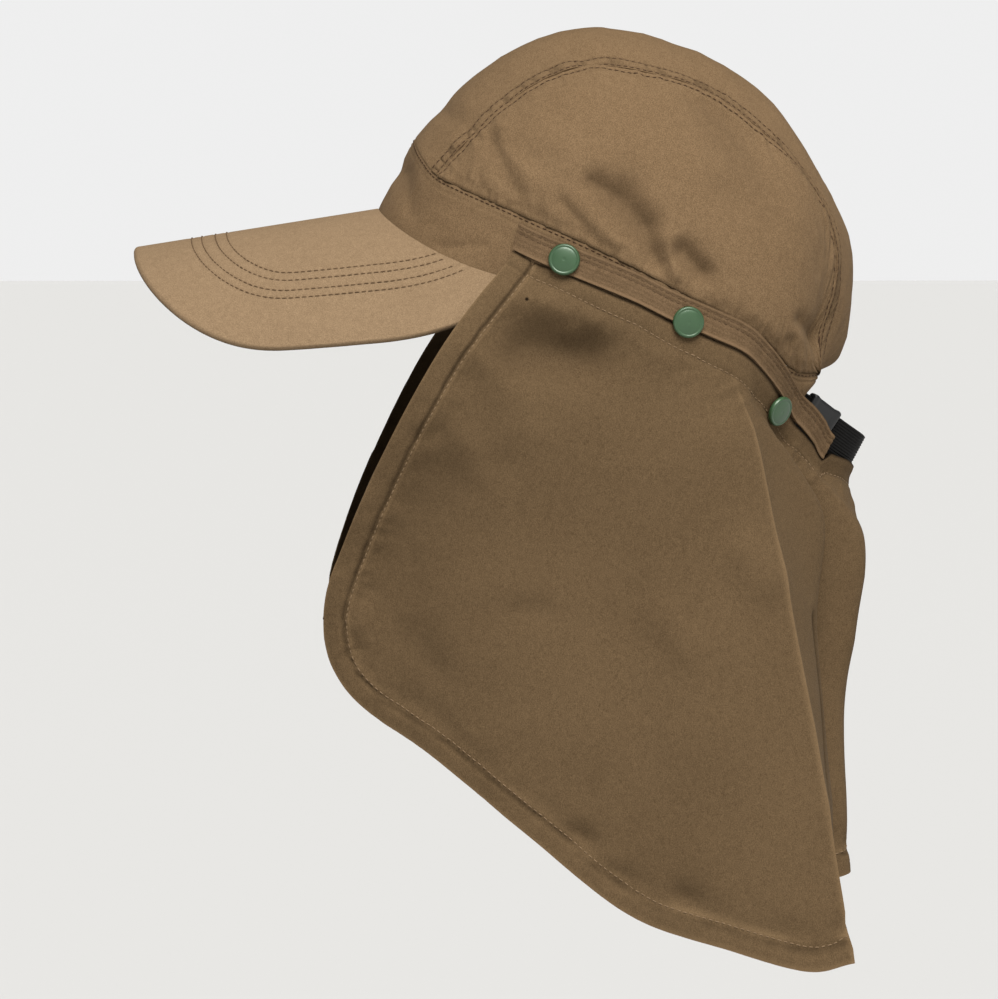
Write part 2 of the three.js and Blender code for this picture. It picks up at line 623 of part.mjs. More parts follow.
// Snap cap: a shallow enamelled dome with a rolled rim, flat behind. It stands off by as much as the
// cloth inside its rim comes forward.
function snap(name, row, side) {
  const profile = [
    new THREE.Vector2(0, 0),
    new THREE.Vector2(snapRadius * 0.93, 0),
    new THREE.Vector2(snapRadius, snapHeight * 0.3),
    new THREE.Vector2(snapRadius * 0.97, snapHeight * 0.62),
    new THREE.Vector2(snapRadius * 0.84, snapHeight * 0.78),
    new THREE.Vector2(snapRadius * 0.5, snapHeight * 0.94),
    new THREE.Vector2(0, snapHeight),
  ];
  const geometry = new THREE.LatheGeometry(profile, 18);
  const lean = THREE.MathUtils.degToRad(row.lean);
  const facing = hangPoint(row.station, side, row.rise, 0);
  const outwards = worn(facing.outX * Math.cos(lean), facing.outY * Math.cos(lean), Math.sin(lean));
  const middle = snapBed(row.station, side, row.rise);
  const nearby = 0.1; // stations
  const stationLength = snapBed(row.station + nearby, side, row.rise).distanceTo(middle) / nearby;
  const rimPoints = 12;
  const forward = Array.from({ length: rimPoints }, (_, i) => {
    const angle = (i / rimPoints) * 2 * Math.PI;
    const station = row.station + (snapRadius * Math.cos(angle)) / stationLength;
    return snapBed(station, side, row.rise + snapRadius * Math.sin(angle)).sub(middle).dot(outwards);
  });
  const made = mesh(name, geometry, snapColour);
  made.quaternion.setFromUnitVectors(new THREE.Vector3(0, 1, 0), outwards);
  made.position.copy(middle).addScaledVector(outwards, Math.max(0, ...forward) + layerGap);
  made.material.roughness = 0.35;
  return made;
}

// Webbing rows in millimetres.
function strapRowsInPlace() {
  return strapRows.map((row) => ({
    x: row.x * bandHalfWidth,
    y: row.y * bandHalfLength,
    z: row.z * crownHeight,
  }));
}

// Webbing across the rear opening, bowed outwards.
function rearStrap() {
  const rows = bothSides(strapRowsInPlace().reverse(), ["x"]);
  const surface = (along, up) => {
    const row = rowAt(rows, along * (rows.length - 1));
    return worn(row.x, row.y, row.z - strapWidth * (1 - up));
  };
  return mesh("rear_strap", wall(gridOf(surface, 32, 1), strapThickness, headCentre), strapColour);
}

// Slider: a flat sleeve round the webbing.
function strapBuckle() {
  const rows = strapRowsInPlace();
  const middle = rowAt(rows, buckleStation);
  const ahead = rowAt(rows, buckleStation + 0.5);
  const behind = rowAt(rows, buckleStation - 0.5);
  const innerDepth = strapThickness + 2 * layerGap;
  const innerHeight = strapWidth + 2 * layerGap;
  const ring = new THREE.Shape();
  roundedBox(ring, innerHeight + 2 * buckleWall, innerDepth + 2 * buckleWall, 1.1);
  const hole = new THREE.Path();
  roundedBox(hole, innerHeight, innerDepth, 0.3);
  ring.holes.push(hole);
  const drawn = { depth: buckleLength, bevelEnabled: false, curveSegments: 4 };
  const geometry = new THREE.ExtrudeGeometry(ring, drawn);
  geometry.translate(0, 0, -buckleLength / 2);
  const along = worn(ahead.x - behind.x, ahead.y - behind.y, ahead.z - behind.z).normalize();
  const upwards = worn(0, 0, 1);
  upwards.addScaledVector(along, -upwards.dot(along)).normalize();
  const outwards = along.clone().cross(upwards);
  const place = new THREE.Matrix4().makeBasis(upwards, outwards, along);
  geometry.applyMatrix4(place);
  const centre = worn(middle.x, middle.y, middle.z - strapWidth / 2);
  centre.addScaledVector(outwards, (-strapThickness / 2) * Math.sign(outwards.dot(centre)));
  geometry.translate(centre.x, centre.y, centre.z);
  const made = mesh("strap_buckle", geometry, strapColour);
  made.material.roughness = 0.4;
  return made;
}

// Outline of a rectangle with round corners about the origin.
function roundedBox(path, width, height, radius) {
  const x = width / 2;
  const y = height / 2;
  path.moveTo(radius - x, -y);
  path.lineTo(x - radius, -y);
  path.absarc(x - radius, radius - y, radius, -Math.PI / 2, 0);
  path.lineTo(x, y - radius);
  path.absarc(x - radius, y - radius, radius, 0, Math.PI / 2);
  path.lineTo(radius - x, y);
  path.absarc(radius - x, y - radius, radius, Math.PI / 2, Math.PI);
  path.lineTo(-x, radius - y);
  path.absarc(radius - x, radius - y, radius, Math.PI, 1.5 * Math.PI);
}

const cap = new THREE.Group();
cap.add(headbandPanel(), centrePanel(), peak(), cape(), rearStrap(), strapBuckle());
for (const [word, side] of [["left", 1], ["right", -1]]) {
  cap.add(sidePanel(`side_panel_${word}`, side), snapTape(`snap_tape_${word}`, side));
  snapRows.forEach((row, index) => cap.add(snap(`snap_${word}_${index + 1}`, row, side)));
}

export default cap;
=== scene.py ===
import math

import bpy
import numpy as np
from mathutils import Matrix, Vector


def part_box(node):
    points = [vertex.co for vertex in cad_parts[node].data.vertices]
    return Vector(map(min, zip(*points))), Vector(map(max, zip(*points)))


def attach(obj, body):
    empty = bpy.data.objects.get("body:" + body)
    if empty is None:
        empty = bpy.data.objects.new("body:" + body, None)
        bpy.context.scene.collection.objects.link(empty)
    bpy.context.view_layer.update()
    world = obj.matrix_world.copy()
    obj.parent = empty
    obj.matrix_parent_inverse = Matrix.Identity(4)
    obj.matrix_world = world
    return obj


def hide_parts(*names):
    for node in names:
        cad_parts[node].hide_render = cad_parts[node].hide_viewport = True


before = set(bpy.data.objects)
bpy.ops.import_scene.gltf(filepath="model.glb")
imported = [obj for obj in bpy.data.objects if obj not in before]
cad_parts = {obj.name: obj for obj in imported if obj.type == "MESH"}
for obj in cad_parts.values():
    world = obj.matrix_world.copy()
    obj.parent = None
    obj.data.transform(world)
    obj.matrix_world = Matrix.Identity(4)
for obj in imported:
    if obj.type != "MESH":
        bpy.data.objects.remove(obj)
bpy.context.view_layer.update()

# Front band: a doubled strip of woven polyamide that goes round the head opening. It is sewn to the
# crown's panels along its top edge with a row of stitches, and rises over the rear opening as an
# arch. The cap is worn tipped back, so the band's own plane dips towards the neck.
MM = 0.001
WORN_TILT = math.radians(28)
BAND_HALF_WIDTH = 80 * MM
BAND_HALF_LENGTH = 109.5 * MM
BAND_PLAN_POWER = 2.3
SEAM_HALF_WIDTH = 79 * MM
SEAM_HALF_LENGTH = 98 * MM
SEAM_CENTRE = -12 * MM
CROWN_HEIGHT = 115 * MM
PANEL_THICKNESS = 1.6 * MM
BAND_TUCK = 1.2 * MM
SEAM_GAP = 0.08 * MM
LAYER_GAP = 0.35 * MM
PEAK_ARCH_RADIUS = 94 * MM
PEAK_PITCH = math.radians(9)
PEAK_CREST_RISE = 49.5 * MM
PEAK_CREST_ROOT = -98 * MM
FRONT_SEAM_HEIGHTS = [0.262, 0.235, 0.202, 0.17, 0.169, 0.176, 0.184, 0.195, 0.203]
# x, y and z of the band's edge, then of its seam
REAR_BAND_ROWS = [
    (0.995, 0.155, 0, 0.983, 0.055, 0.204),
    (0.969, 0.306, 0.004, 0.963, 0.219, 0.205),
    (0.912, 0.42, 0.017, 0.912, 0.356, 0.203),
    (0.8, 0.507, 0.044, 0.831, 0.461, 0.191),
    (0.675, 0.589, 0.044, 0.731, 0.557, 0.16),
    (0.562, 0.668, 0.06, 0.625, 0.63, 0.162),
    (0.481, 0.7, 0.13, 0.469, 0.697, 0.194),
    (0.25, 0.713, 0.131, 0.244, 0.717, 0.196),
    (0, 0.719, 0.129, 0, 0.728, 0.195),
]


def smooth(table, place):
    """Rows of a table at places between them: on each column a cubic whose slope at a row is half
    the difference of its two neighbours."""
    last = len(table) - 1
    first = np.clip(np.floor(place).astype(int), 0, last - 1)
    t = (place - first)[..., None]
    start, end = table[first], table[first + 1]
    before = np.where((first > 0)[..., None], table[np.maximum(first - 1, 0)], 2 * start - end)
    after = np.where((first + 1 < last)[..., None], table[np.minimum(first + 2, last)], 2 * end - start)
    slope_in, slope_out, rise = (end - before) / 2, (after - start) / 2, end - start
    square, cube = 3 * rise - 2 * slope_in - slope_out, slope_in + slope_out - 2 * rise
    return start + t * (slope_in + t * (square + t * cube))


def blend(start, end, share):
    """start + (end - start) share."""
    return start + (end - start) * share


def worn(points):
    """The cap's own frame as it is worn: y cos + z sin goes backwards, z cos - y sin goes up."""
    x, y, z = np.moveaxis(points, -1, 0)
    sine, cosine = math.sin(WORN_TILT), math.cos(WORN_TILT)
    return np.stack([x, y * cosine + z * sine, z * cosine - y * sine], axis=-1)


def oval(half_width, half_length, power, share):
    """x = width sin(angle)^(2/power), y = -length cos(angle)^(2/power), with share of a right angle."""
    angle = share * math.pi / 2
    across = half_width * np.sin(angle) ** (2 / power)
    return across, -half_length * np.maximum(np.cos(angle), 0) ** (2 / power)


def peak_over_floor(x, y, depth):
    """Height of the peak's arched face above the band's plane: crest height less the arch's fall,
    where the fall is radius - sqrt(radius squared - x squared)."""
    slope, sine, cosine = math.tan(PEAK_PITCH), math.sin(WORN_TILT), math.cos(WORN_TILT)
    radius = PEAK_ARCH_RADIUS - depth
    crest = PEAK_CREST_RISE - depth - slope * PEAK_CREST_ROOT + (slope * cosine + sine) * y
    return (crest - radius + np.sqrt(radius**2 - x**2)) / (cosine - slope * sine)


def band_half_rows():
    """The band from the forehead to the back: nine rows on two ovals, then the rear rows."""
    share = np.linspace(0, 1, len(FRONT_SEAM_HEIGHTS))
    x, y = oval(BAND_HALF_WIDTH, BAND_HALF_LENGTH, BAND_PLAN_POWER, share)
    seam_x, seam_y = oval(SEAM_HALF_WIDTH, SEAM_HALF_LENGTH, BAND_PLAN_POWER, share)
    floor = np.minimum(0, peak_over_floor(x, y, 0)) - BAND_TUCK
    heights = np.array(FRONT_SEAM_HEIGHTS) * CROWN_HEIGHT
    front = np.stack([x, y, floor, seam_x, seam_y + SEAM_CENTRE, heights], axis=-1)
    scale = np.array([BAND_HALF_WIDTH, BAND_HALF_LENGTH, CROWN_HEIGHT] * 2)
    return np.vstack([front, np.array(REAR_BAND_ROWS) * scale])


def both_sides(rows, mirrored):
    """The rows of the far side, backwards and with their mirrored columns' sign changed, then the
    near side's."""
    far = rows[:0:-1].copy()
    far[:, mirrored] *= -1
    return np.vstack([far, rows])


def outward(grid, closed=False):
    """Unit normals of a grid: the cross product of its differences both ways, turned away from the
    middle of the head."""
    along = np.roll(grid, -1, 0) - np.roll(grid, 1, 0) if closed else np.gradient(grid, axis=0)
    normal = np.cross(along, np.gradient(grid, axis=1))
    normal /= np.linalg.norm(normal, axis=-1, keepdims=True) + 1e-12
    return normal * np.sign(np.sum(normal * grid))


def run(grid, axis):
    """Distance gone along an axis of a grid, from its start."""
    steps = np.linalg.norm(np.diff(grid, axis=axis), axis=-1)
    start = np.zeros_like(np.take(steps, [0], axis=axis))
    return np.concatenate([start, np.cumsum(steps, axis=axis)], axis=axis)


def drift(x, y, seed):
    """Smooth noise from -1 to 1: random numbers on a unit grid, eased from one to the next by
    3 t squared - 2 t cubed."""
    size = 97
    knots = np.random.default_rng(seed).uniform(-1, 1, (size, size))
    i, j = np.floor(x).astype(int), np.floor(y).astype(int)
    u, v = x - i, y - j
    u, v = u * u * (3 - 2 * u), v * v * (3 - 2 * v)
    near = blend(knots[i % size, j % size], knots[(i + 1) % size, j % size], u)
    far = blend(knots[i % size, (j + 1) % size], knots[(i + 1) % size, (j + 1) % size], u)
    return blend(near, far, v)


def crumple(x, y, seed):
    """Cloth that was folded small: 1 - 2 |noise|, which has a sharp ridge where the noise is nought,
    in two sizes."""
    coarse = 1 - 2 * np.abs(drift(x, y, seed)) ** 0.8
    return coarse + 0.45 * (1 - 2 * np.abs(drift(2.3 * x + 7, 2.1 * y, seed + 100)))


def hump(distance, width):
    """exp(-(distance / width) squared)."""
    return np.exp(-((distance / width) ** 2))


def creases(points, table):
    """Depth of folds seen from the side, in metres. Each row is a line from (y, z) to (y, z), a width,
    a depth and a share of sharpness, which mixes exp(-a squared) with exp(-1.3 a) of the distance a
    over the width. Where valleys meet, the deeper one wins: their fourth powers are summed, and those
    of the ridges apart from them. The table is in millimetres."""
    y, z = points[..., 1] / MM, points[..., 2] / MM
    valley, ridge = np.zeros_like(y), np.zeros_like(y)
    for y0, z0, y1, z1, width, deep, sharp in table:
        step = np.array([y1 - y0, z1 - z0])
        t = np.clip(((y - y0) * step[0] + (z - z0) * step[1]) / (step @ step), 0, 1)
        away = np.hypot(y - y0 - t * step[0], z - z0 - t * step[1]) / width
        cusp = np.exp(0.3 - np.sqrt((1.3 * away) ** 2 + 0.3**2))
        depth = deep * blend(hump(away, 1), cusp, sharp)
        valley += np.maximum(depth, 0) ** 4
        ridge += np.minimum(depth, 0) ** 4
    return (valley**0.25 - ridge**0.25) * MM


def cloth_piece(name, outer, inner, closed=False, shade=None):
    """A closed wall between two grids of points. Its UV map, weave, holds metres of cloth both ways,
    and its attributes carry the painted shade and highlights, and mark the inner faces."""
    columns, rows = outer.shape[:2]
    index = np.arange(columns * rows).reshape(columns, rows)
    here = index if closed else index[:-1]
    ahead = np.roll(index, -1, 0) if closed else index[1:]
    back = columns * rows

    def quads(a, b, c, d):
        return np.stack([a.ravel(), b.ravel(), c.ravel(), d.ravel()], axis=-1)

    faces = [
        quads(here[:, :-1], ahead[:, :-1], ahead[:, 1:], here[:, 1:]),
        quads(here[:, :-1], here[:, 1:], ahead[:, 1:], ahead[:, :-1]) + back,
        quads(here[:, 0], here[:, 0] + back, ahead[:, 0] + back, ahead[:, 0]),
        quads(here[:, -1], ahead[:, -1], ahead[:, -1] + back, here[:, -1] + back),
    ]
    if not closed:
        first, last = index[0], index[-1]
        faces.append(quads(first[:-1], first[1:], first[1:] + back, first[:-1] + back))
        faces.append(quads(last[:-1], last[:-1] + back, last[1:] + back, last[1:]))
    faces = np.vstack(faces)
    points = np.vstack([outer.reshape(-1, 3), inner.reshape(-1, 3)])
    a, b, c = (points[faces[:, k]] for k in (0, 1, 2))
    d = points[faces[:, 3]]
    volume = np.sum(a * np.cross(b, c)) + np.sum(a * np.cross(c, d))
    if volume < 0:
        faces = faces[:, ::-1]
    mesh = bpy.data.meshes.new(name)
    mesh.from_pydata(points.tolist(), [], faces.tolist())
    threads = np.stack([run(outer, 0), run(outer, 1)], axis=-1).reshape(-1, 2)
    threads = np.vstack([threads, threads])
    weave = mesh.uv_layers.new(name="weave")
    weave.data.foreach_set("uv", threads[faces].ravel())
    # painted shade, below nought for painted highlights, on both faces
    shade_values = np.zeros(columns * rows) if shade is None else shade.ravel()
    mesh.attributes.new("painted_shade", "FLOAT", "POINT").data.foreach_set("value", np.tile(shade_values, 2))
    inside = np.repeat([0.0, 1.0], columns * rows)
    mesh.attributes.new("inside", "FLOAT", "POINT").data.foreach_set("value", inside)
    return finished(name, mesh)


def finished(name, mesh):
    """The mesh as an object at the origin, smooth but for its square edges."""
    mesh.validate()
    mesh.shade_smooth()
    mesh.set_sharp_from_angle(angle=math.radians(55))
    piece = bpy.data.objects.new(name, mesh)
    bpy.context.collection.objects.link(piece)
    return piece


def behind(outer, thickness, closed=False):
    """The inner face of a wall: each point moved in along its normal."""
    return outer - outward(outer, closed) * thickness


class Wire:
    """A socket of a material's tree. Sums on wires and numbers add Math nodes, and node() adds any
    other node."""

    def __init__(self, tree, socket=None):
        self.tree = tree
        self.socket = socket

    def node(self, kind, settings=None, inputs=None, output=0):
        made = self.tree.nodes.new(kind)
        for key, value in (settings or {}).items():
            if key == "stops":
                for stop, (position, colour) in zip(made.color_ramp.elements, value):
                    stop.position = position
                    stop.color = (*colour, 1)
            else:
                setattr(made, key, value)
        for key, value in (inputs or {}).items():
            if isinstance(value, Wire):
                self.tree.links.new(value.socket, made.inputs[key])
            else:
                made.inputs[key].default_value = value
        return Wire(self.tree, made.outputs[output])

    def maths(self, operation, *values):
        return self.node("ShaderNodeMath", {"operation": operation}, dict(enumerate(values)))

    def __add__(self, other):
        return self.maths("ADD", self, other)

    def __sub__(self, other):
        return self.maths("SUBTRACT", self, other)

    def __rsub__(self, other):
        return self.maths("SUBTRACT", other, self)

    def __mul__(self, other):
        return self.maths("MULTIPLY", self, other)

    __radd__ = __add__
    __rmul__ = __mul__

    def clipped(self):
        return self.maths("MINIMUM", self.maths("MAXIMUM", self, 0), 1)

    def mixed(self, share, other):
        """This colour with a share of another."""
        settings = {"data_type": "RGBA"}
        return self.node("ShaderNodeMix", settings, {0: share, 6: self, 7: other}, output=2)

    def between(self, dark, colour):
        """The mix of two constant colours by this share."""
        inputs = {0: self, 6: (*dark, 1), 7: (*colour, 1)}
        return self.node("ShaderNodeMix", {"data_type": "RGBA"}, inputs, output=2)

    def into(self, socket):
        self.tree.links.new(self.socket, socket)

    def noise(self, place, scale, detail=2.0, roughness=0.5):
        inputs = {"Vector": place, "Scale": scale, "Detail": detail, "Roughness": roughness}
        return self.node("ShaderNodeTexNoise", {}, inputs)


def new_material(name):
    """A material with its tree's start and its shader."""
    material = bpy.data.materials.new(name)
    material.use_nodes = True
    shader = material.node_tree.nodes["Principled BSDF"]
    return material, Wire(material.node_tree), shader


def emboss(wire, shader, strength, depth, height):
    """Bump from a height, with its depth in millimetres."""
    inputs = {"Strength": strength, "Distance": depth * MM, "Height": height}
    wire.node("ShaderNodeBump", {}, inputs).into(shader.inputs["Normal"])


def woven(name, colour, dark, inside_shade_share=0.75, relief=0.5, speck=None):
    """Woven cloth: the threads' crossing is sin u times sin v over the UV map, with a heathered mix
    of a light and a dark yarn. Painted shade darkens it in pressed seams, creases and on the inner
    faces, with painted highlights along the folded edges. A speck is a small dark spot round a point."""
    material, wire, shader = new_material(name)
    place = wire.node("ShaderNodeTexCoord", output=3)
    weave = wire.node("ShaderNodeUVMap", {"uv_map": "weave"})
    split = wire.node("ShaderNodeSeparateXYZ", {}, {0: weave})
    across = Wire(wire.tree, split.socket.node.outputs[1])
    turn = 2 * math.pi / WEAVE_PITCH
    crossing = wire.maths("SINE", split * turn) * wire.maths("SINE", across * turn)
    speckle = wire.noise(place, 2300, 2, 0.7)
    cloud = wire.noise(place, 420, 3, 0.6)
    broad = wire.noise(place, 24, 3, 0.5)
    share = (speckle - 0.5) * 2.6 + (cloud - 0.5) * 0.6 + (broad - 0.5) * 0.35 + crossing * 0.1 + 0.5
    tone = share.clipped().between(dark, colour)
    seam = wire.node("ShaderNodeAttribute", {"attribute_name": "painted_shade"}, output=2)
    inside = wire.node("ShaderNodeAttribute", {"attribute_name": "inside"}, output=2)
    # painted highlight: lighter where the shade attribute is below nought, along folded edges
    tone = tone.mixed((seam * -1).clipped(), (*[1.7 * part for part in colour], 1))
    # painted shade: darker in pressed seams, creases and grooves, and on the inner faces by the inside
    # share
    tone = tone.mixed((seam + inside * inside_shade_share).clipped(), (*[0.22 * part for part in dark], 1))
    if speck is not None:
        away = wire.node("ShaderNodeVectorMath", {"operation": "DISTANCE"}, {0: place, 1: tuple(speck)}, 1)
        tone = tone.mixed((away * -2500 + 2.2).clipped(), (*[0.2 * part for part in dark], 1))
    tone.into(shader.inputs["Base Color"])
    (0.84 + (cloud - 0.5) * 0.16).into(shader.inputs["Roughness"])
    shader.inputs["Sheen Weight"].default_value = 0.02
    shader.inputs["Sheen Roughness"].default_value = 0.5
    shader.inputs["Sheen Tint"].default_value = (0.8, 0.7, 0.55, 1)
    shader.inputs["Specular IOR Level"].default_value = 0.03
    emboss(wire, shader, relief, 0.12, crossing * 0.5 + speckle * 0.8 + cloud * 1.2)
    return material


WEAVE_PITCH = 0.42 * MM
KHAKI = (0.212, 0.138, 0.075)
KHAKI_DARK = (0.111, 0.069, 0.035)
crown_cloth = woven("crown_cloth", KHAKI, KHAKI_DARK)

band_half = band_half_rows()
band_rows = both_sides(band_half, [0, 3])
BAND_COLUMNS = 14 * (len(band_rows) - 1)
BAND_LEVELS = 30
# millimetres below the seam
BAND_PRESSED_ROWS = (1.7, 3.6)
BAND_STITCH_ROW = 1.4
# from y, z to y, z, then width, depth and sharpness, in millimetres as seen from the side
BAND_CREASES = [(-74.5, 33.5, -58, 34.8, 2.2, 1.2, 0.6), (-88, 64, -86, 48, 4, 1.4, 0.3)]


def band_grid():
    """Straight lines from the band's edge to its seam, pressed in along two rows by the seam and
    puckered between them."""
    station = np.linspace(0, len(band_rows) - 1, BAND_COLUMNS, endpoint=False)
    row = smooth(band_rows, station)[:, None, :]
    height = np.linalg.norm(row[..., 3:] - row[..., :3], axis=-1)
    level = np.linspace(0, 1, BAND_LEVELS)[None, :] ** 0.8
    share = level * (1 - SEAM_GAP / 2 / height)
    points = worn(blend(row[..., :3], row[..., 3:], share[..., None]))
    below_seam = (1 - share) * height / MM
    along = run(points, 0) / MM
    upper, lower = BAND_PRESSED_ROWS
    press = 0.35 * hump(below_seam - upper, 0.5) + 0.3 * hump(below_seam - lower, 0.5)
    press += 0.5 * hump(below_seam, 0.6)
    pucker = 0.22 * drift(along / 1.9, below_seam / 6, 3) * hump(below_seam - 2.6, 2.4)
    slack = 0.5 * drift(along / 22, below_seam / 12, 4) * (1 - share) * share * 4
    front = np.clip(-points[..., 1] / BAND_HALF_LENGTH, 0, 1)
    crease = creases(points, BAND_CREASES) / MM * front
    worked = 0.35 * crumple(along / 26, below_seam / 18, 5) * (1 - share) * share * 4
    shift = (pucker + slack + worked - press - crease) * MM
    # 0.35 times the press is painted shade in the pressed rows and along the seam
    return points + outward(points, True) * shift[..., None], 0.35 * press


band_outer, band_shade = band_grid()
band = cloth_piece("band", band_outer, behind(band_outer, PANEL_THICKNESS, True), True, band_shade)
band.data.materials.append(crown_cloth)
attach(band, "root")
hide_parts("headband_panel")

# Crown: a strip over the top and a panel on each side, of one layer of the same cloth. The seams are
# turned, pressed flat and sewn down with rows of brown stitches on each side, which draws the cloth
# between them into small ladders. The side panels are dented from being packed.
# y and z of the strip's middle, then x, y and z of its edge
STRIP_ROWS = np.array([
    (-1.006, 0.262, 0.592, -0.862, 0.17),
    (-0.973, 0.387, 0.578, -0.829, 0.322),
    (-0.909, 0.565, 0.556, -0.772, 0.487),
    (-0.795, 0.743, 0.538, -0.694, 0.626),
    (-0.621, 0.896, 0.528, -0.573, 0.748),
    (-0.393, 0.978, 0.525, -0.384, 0.82),
    (-0.128, 1, 0.522, -0.142, 0.863),
    (0.137, 0.954, 0.512, 0.1, 0.832),
    (0.375, 0.828, 0.494, 0.301, 0.774),
    (0.598, 0.668, 0.47, 0.475, 0.67),
    (0.73, 0.465, 0.452, 0.598, 0.496),
    (0.774, 0.287, 0.456, 0.64, 0.32),
    (0.728, 0.195, 0.469, 0.697, 0.194),
])
STRIP_SCALE = [BAND_HALF_LENGTH, CROWN_HEIGHT, BAND_HALF_WIDTH, BAND_HALF_LENGTH, CROWN_HEIGHT]
STRIP_FRONT_STATION = 3
STRIP_REAR_STATION = 15
STRIP_BEND = 0.16
# from y, z to y, z, then width, depth and sharpness, in millimetres as seen from the side
SIDE_CREASES = [
    (-13, 59, -3.5, 53.7, 5, 3.2, 0.1),
    (-3.5, 53.7, 5.4, 42.7, 8, 4.4, 0),
    (5.4, 42.7, 9.3, 27.5, 6, 3.6, 0),
    (-15, 60, -10, 56, 3.5, 2.6, 0.3),
    (6, 52, 13, 38, 6, -1.6, 0),
    (13, 38, 16, 22, 5, -1.6, 0),
    (20, 31.5, 27, 24, 5.5, 3.4, 0),
    (12, 34, 9.8, 20, 3, 1.6, 0.2),
    (-26.5, 51, -10, 32, 3.4, 1.3, 0.3),
    (-22, 51, -6, 33, 5, -0.8, 0),
    (-53.5, 76.3, -45, 56, 4.5, 1.2, 0.3),
    (-49, 79, -41, 60, 5, -0.8, 0),
    (-46, 74, -32.8, 68.1, 6, 1.1, 0.1),
    (34.7, 91.5, 53.4, 56.4, 9, 1.8, 0),
    (38.6, 56.4, 56.1, 46.7, 8, 1.4, 0.1),
    (69, 4.9, 76, -2.1, 3.5, 2, 0.3),
    (63.9, -4, 65.9, -14.6, 3.5, 1.6, 0.3),
    (56.1, -6, 59.3, -14.6, 3, 1.3, 0.3),
    (-7.4, 26, -3.5, 33, 2.5, 1.2, 0.4),
    (9.3, 19, 14, 26, 2.5, 1.2, 0.4),
]
# millimetres from the seam between strip and side
SEAM_STITCH_ROWS = (0.9, 5.6)
SIDE_STITCH_ROW = 1.9
STRIP_CREASES = [(-21.8, 111.8, -12.1, 106.3, 3, 1.5, 0.5), (-70.6, 86.8, -59.7, 80.6, 5, 1.2, 0.3)]


def strip_point(share, reach):
    """Top panel in the cap's own frame at a share of its length: across it falls with the reach
    squared, and its ends bend to the band's seam by (1 - distance / bend) squared."""

    def plain(at):
        row = smooth(STRIP_ROWS * STRIP_SCALE, at * (len(STRIP_ROWS) - 1))
        mid_y, mid_z, edge_x, edge_y, edge_z = np.moveaxis(row, -1, 0)
        fall = reach**2
        return np.stack([reach * edge_x, blend(mid_y, edge_y, fall), blend(mid_z, edge_z, fall)], axis=-1)

    last = len(band_half) - 1
    reach_size = np.abs(reach)
    point = plain(share)
    ends = [
        (0.0, share, STRIP_FRONT_STATION * reach_size),
        (1.0, 1 - share, blend(last, STRIP_REAR_STATION, reach_size)),
    ]
    for end, distance, station in ends:
        hold = np.maximum(1 - distance / STRIP_BEND, 0) ** 2
        row = smooth(band_half, station)
        seam = np.stack([np.sign(reach) * row[..., 3], row[..., 4], row[..., 5]], axis=-1)
        point = point + hold[..., None] * (seam - plain(np.full_like(share, end)))
    return point


def ladder(beside_seam, along, seed):
    """Height in millimetres of the cloth beside a seam, and its painted shade in the short grooves and
    along the rows of stitches: pressed in on the rows of stitches, and between them puffed up, with
    short grooves across where the noise is nought."""
    rungs = hump(drift(along / 3.7, beside_seam / 16, seed), 0.17)
    zone = hump(beside_seam - 3.2, 2.6)
    near_row, far_row = SEAM_STITCH_ROWS
    rows = 0.4 * hump(beside_seam - far_row, 0.55) + 0.35 * hump(beside_seam - near_row, 0.5)
    height = 0.35 * hump(beside_seam, 5) + (0.25 - 0.7 * rungs) * zone - rows - 0.1 * hump(beside_seam, 0.5)
    # painted shade along the pressed rows of stitches
    row_shade = hump(beside_seam - far_row, 0.45) + hump(beside_seam - near_row, 0.4)
    return height, 0.4 * rungs * zone + 0.3 * row_shade


def strip_grid():
    """strip_point over its whole length and reach, with ladders beside both seams."""
    share, reach = np.meshgrid(np.linspace(0.0005, 0.9995, 420), np.linspace(-1, 1, 96), indexing="ij")
    reach = reach * (1 - SEAM_GAP / 2 / (0.5 * BAND_HALF_WIDTH))
    points = worn(strip_point(share, reach))
    across, along = run(points, 1) / MM, run(points, 0) / MM
    beside = np.minimum(across, across[:, -1:] - across)
    ends = np.minimum(along, along[-1:] - along)
    slack = 0.6 * drift(along / 24, across / 20, 11) * (1 - hump(ends, 12))
    fold = creases(points, STRIP_CREASES) / MM
    rungs, rung_shade = ladder(beside, along, 12)
    slack += 0.35 * crumple(along / 20, across / 26, 13) * (1 - hump(ends, 8))
    shift = rungs + slack - fold - 0.15 * hump(ends, 0.8)
    # painted shade where the strip's ends meet the band, plus the ladders' painted shade
    shade = 0.2 * hump(ends, 0.8) + rung_shade
    return points + outward(points) * (shift * MM)[..., None], shade


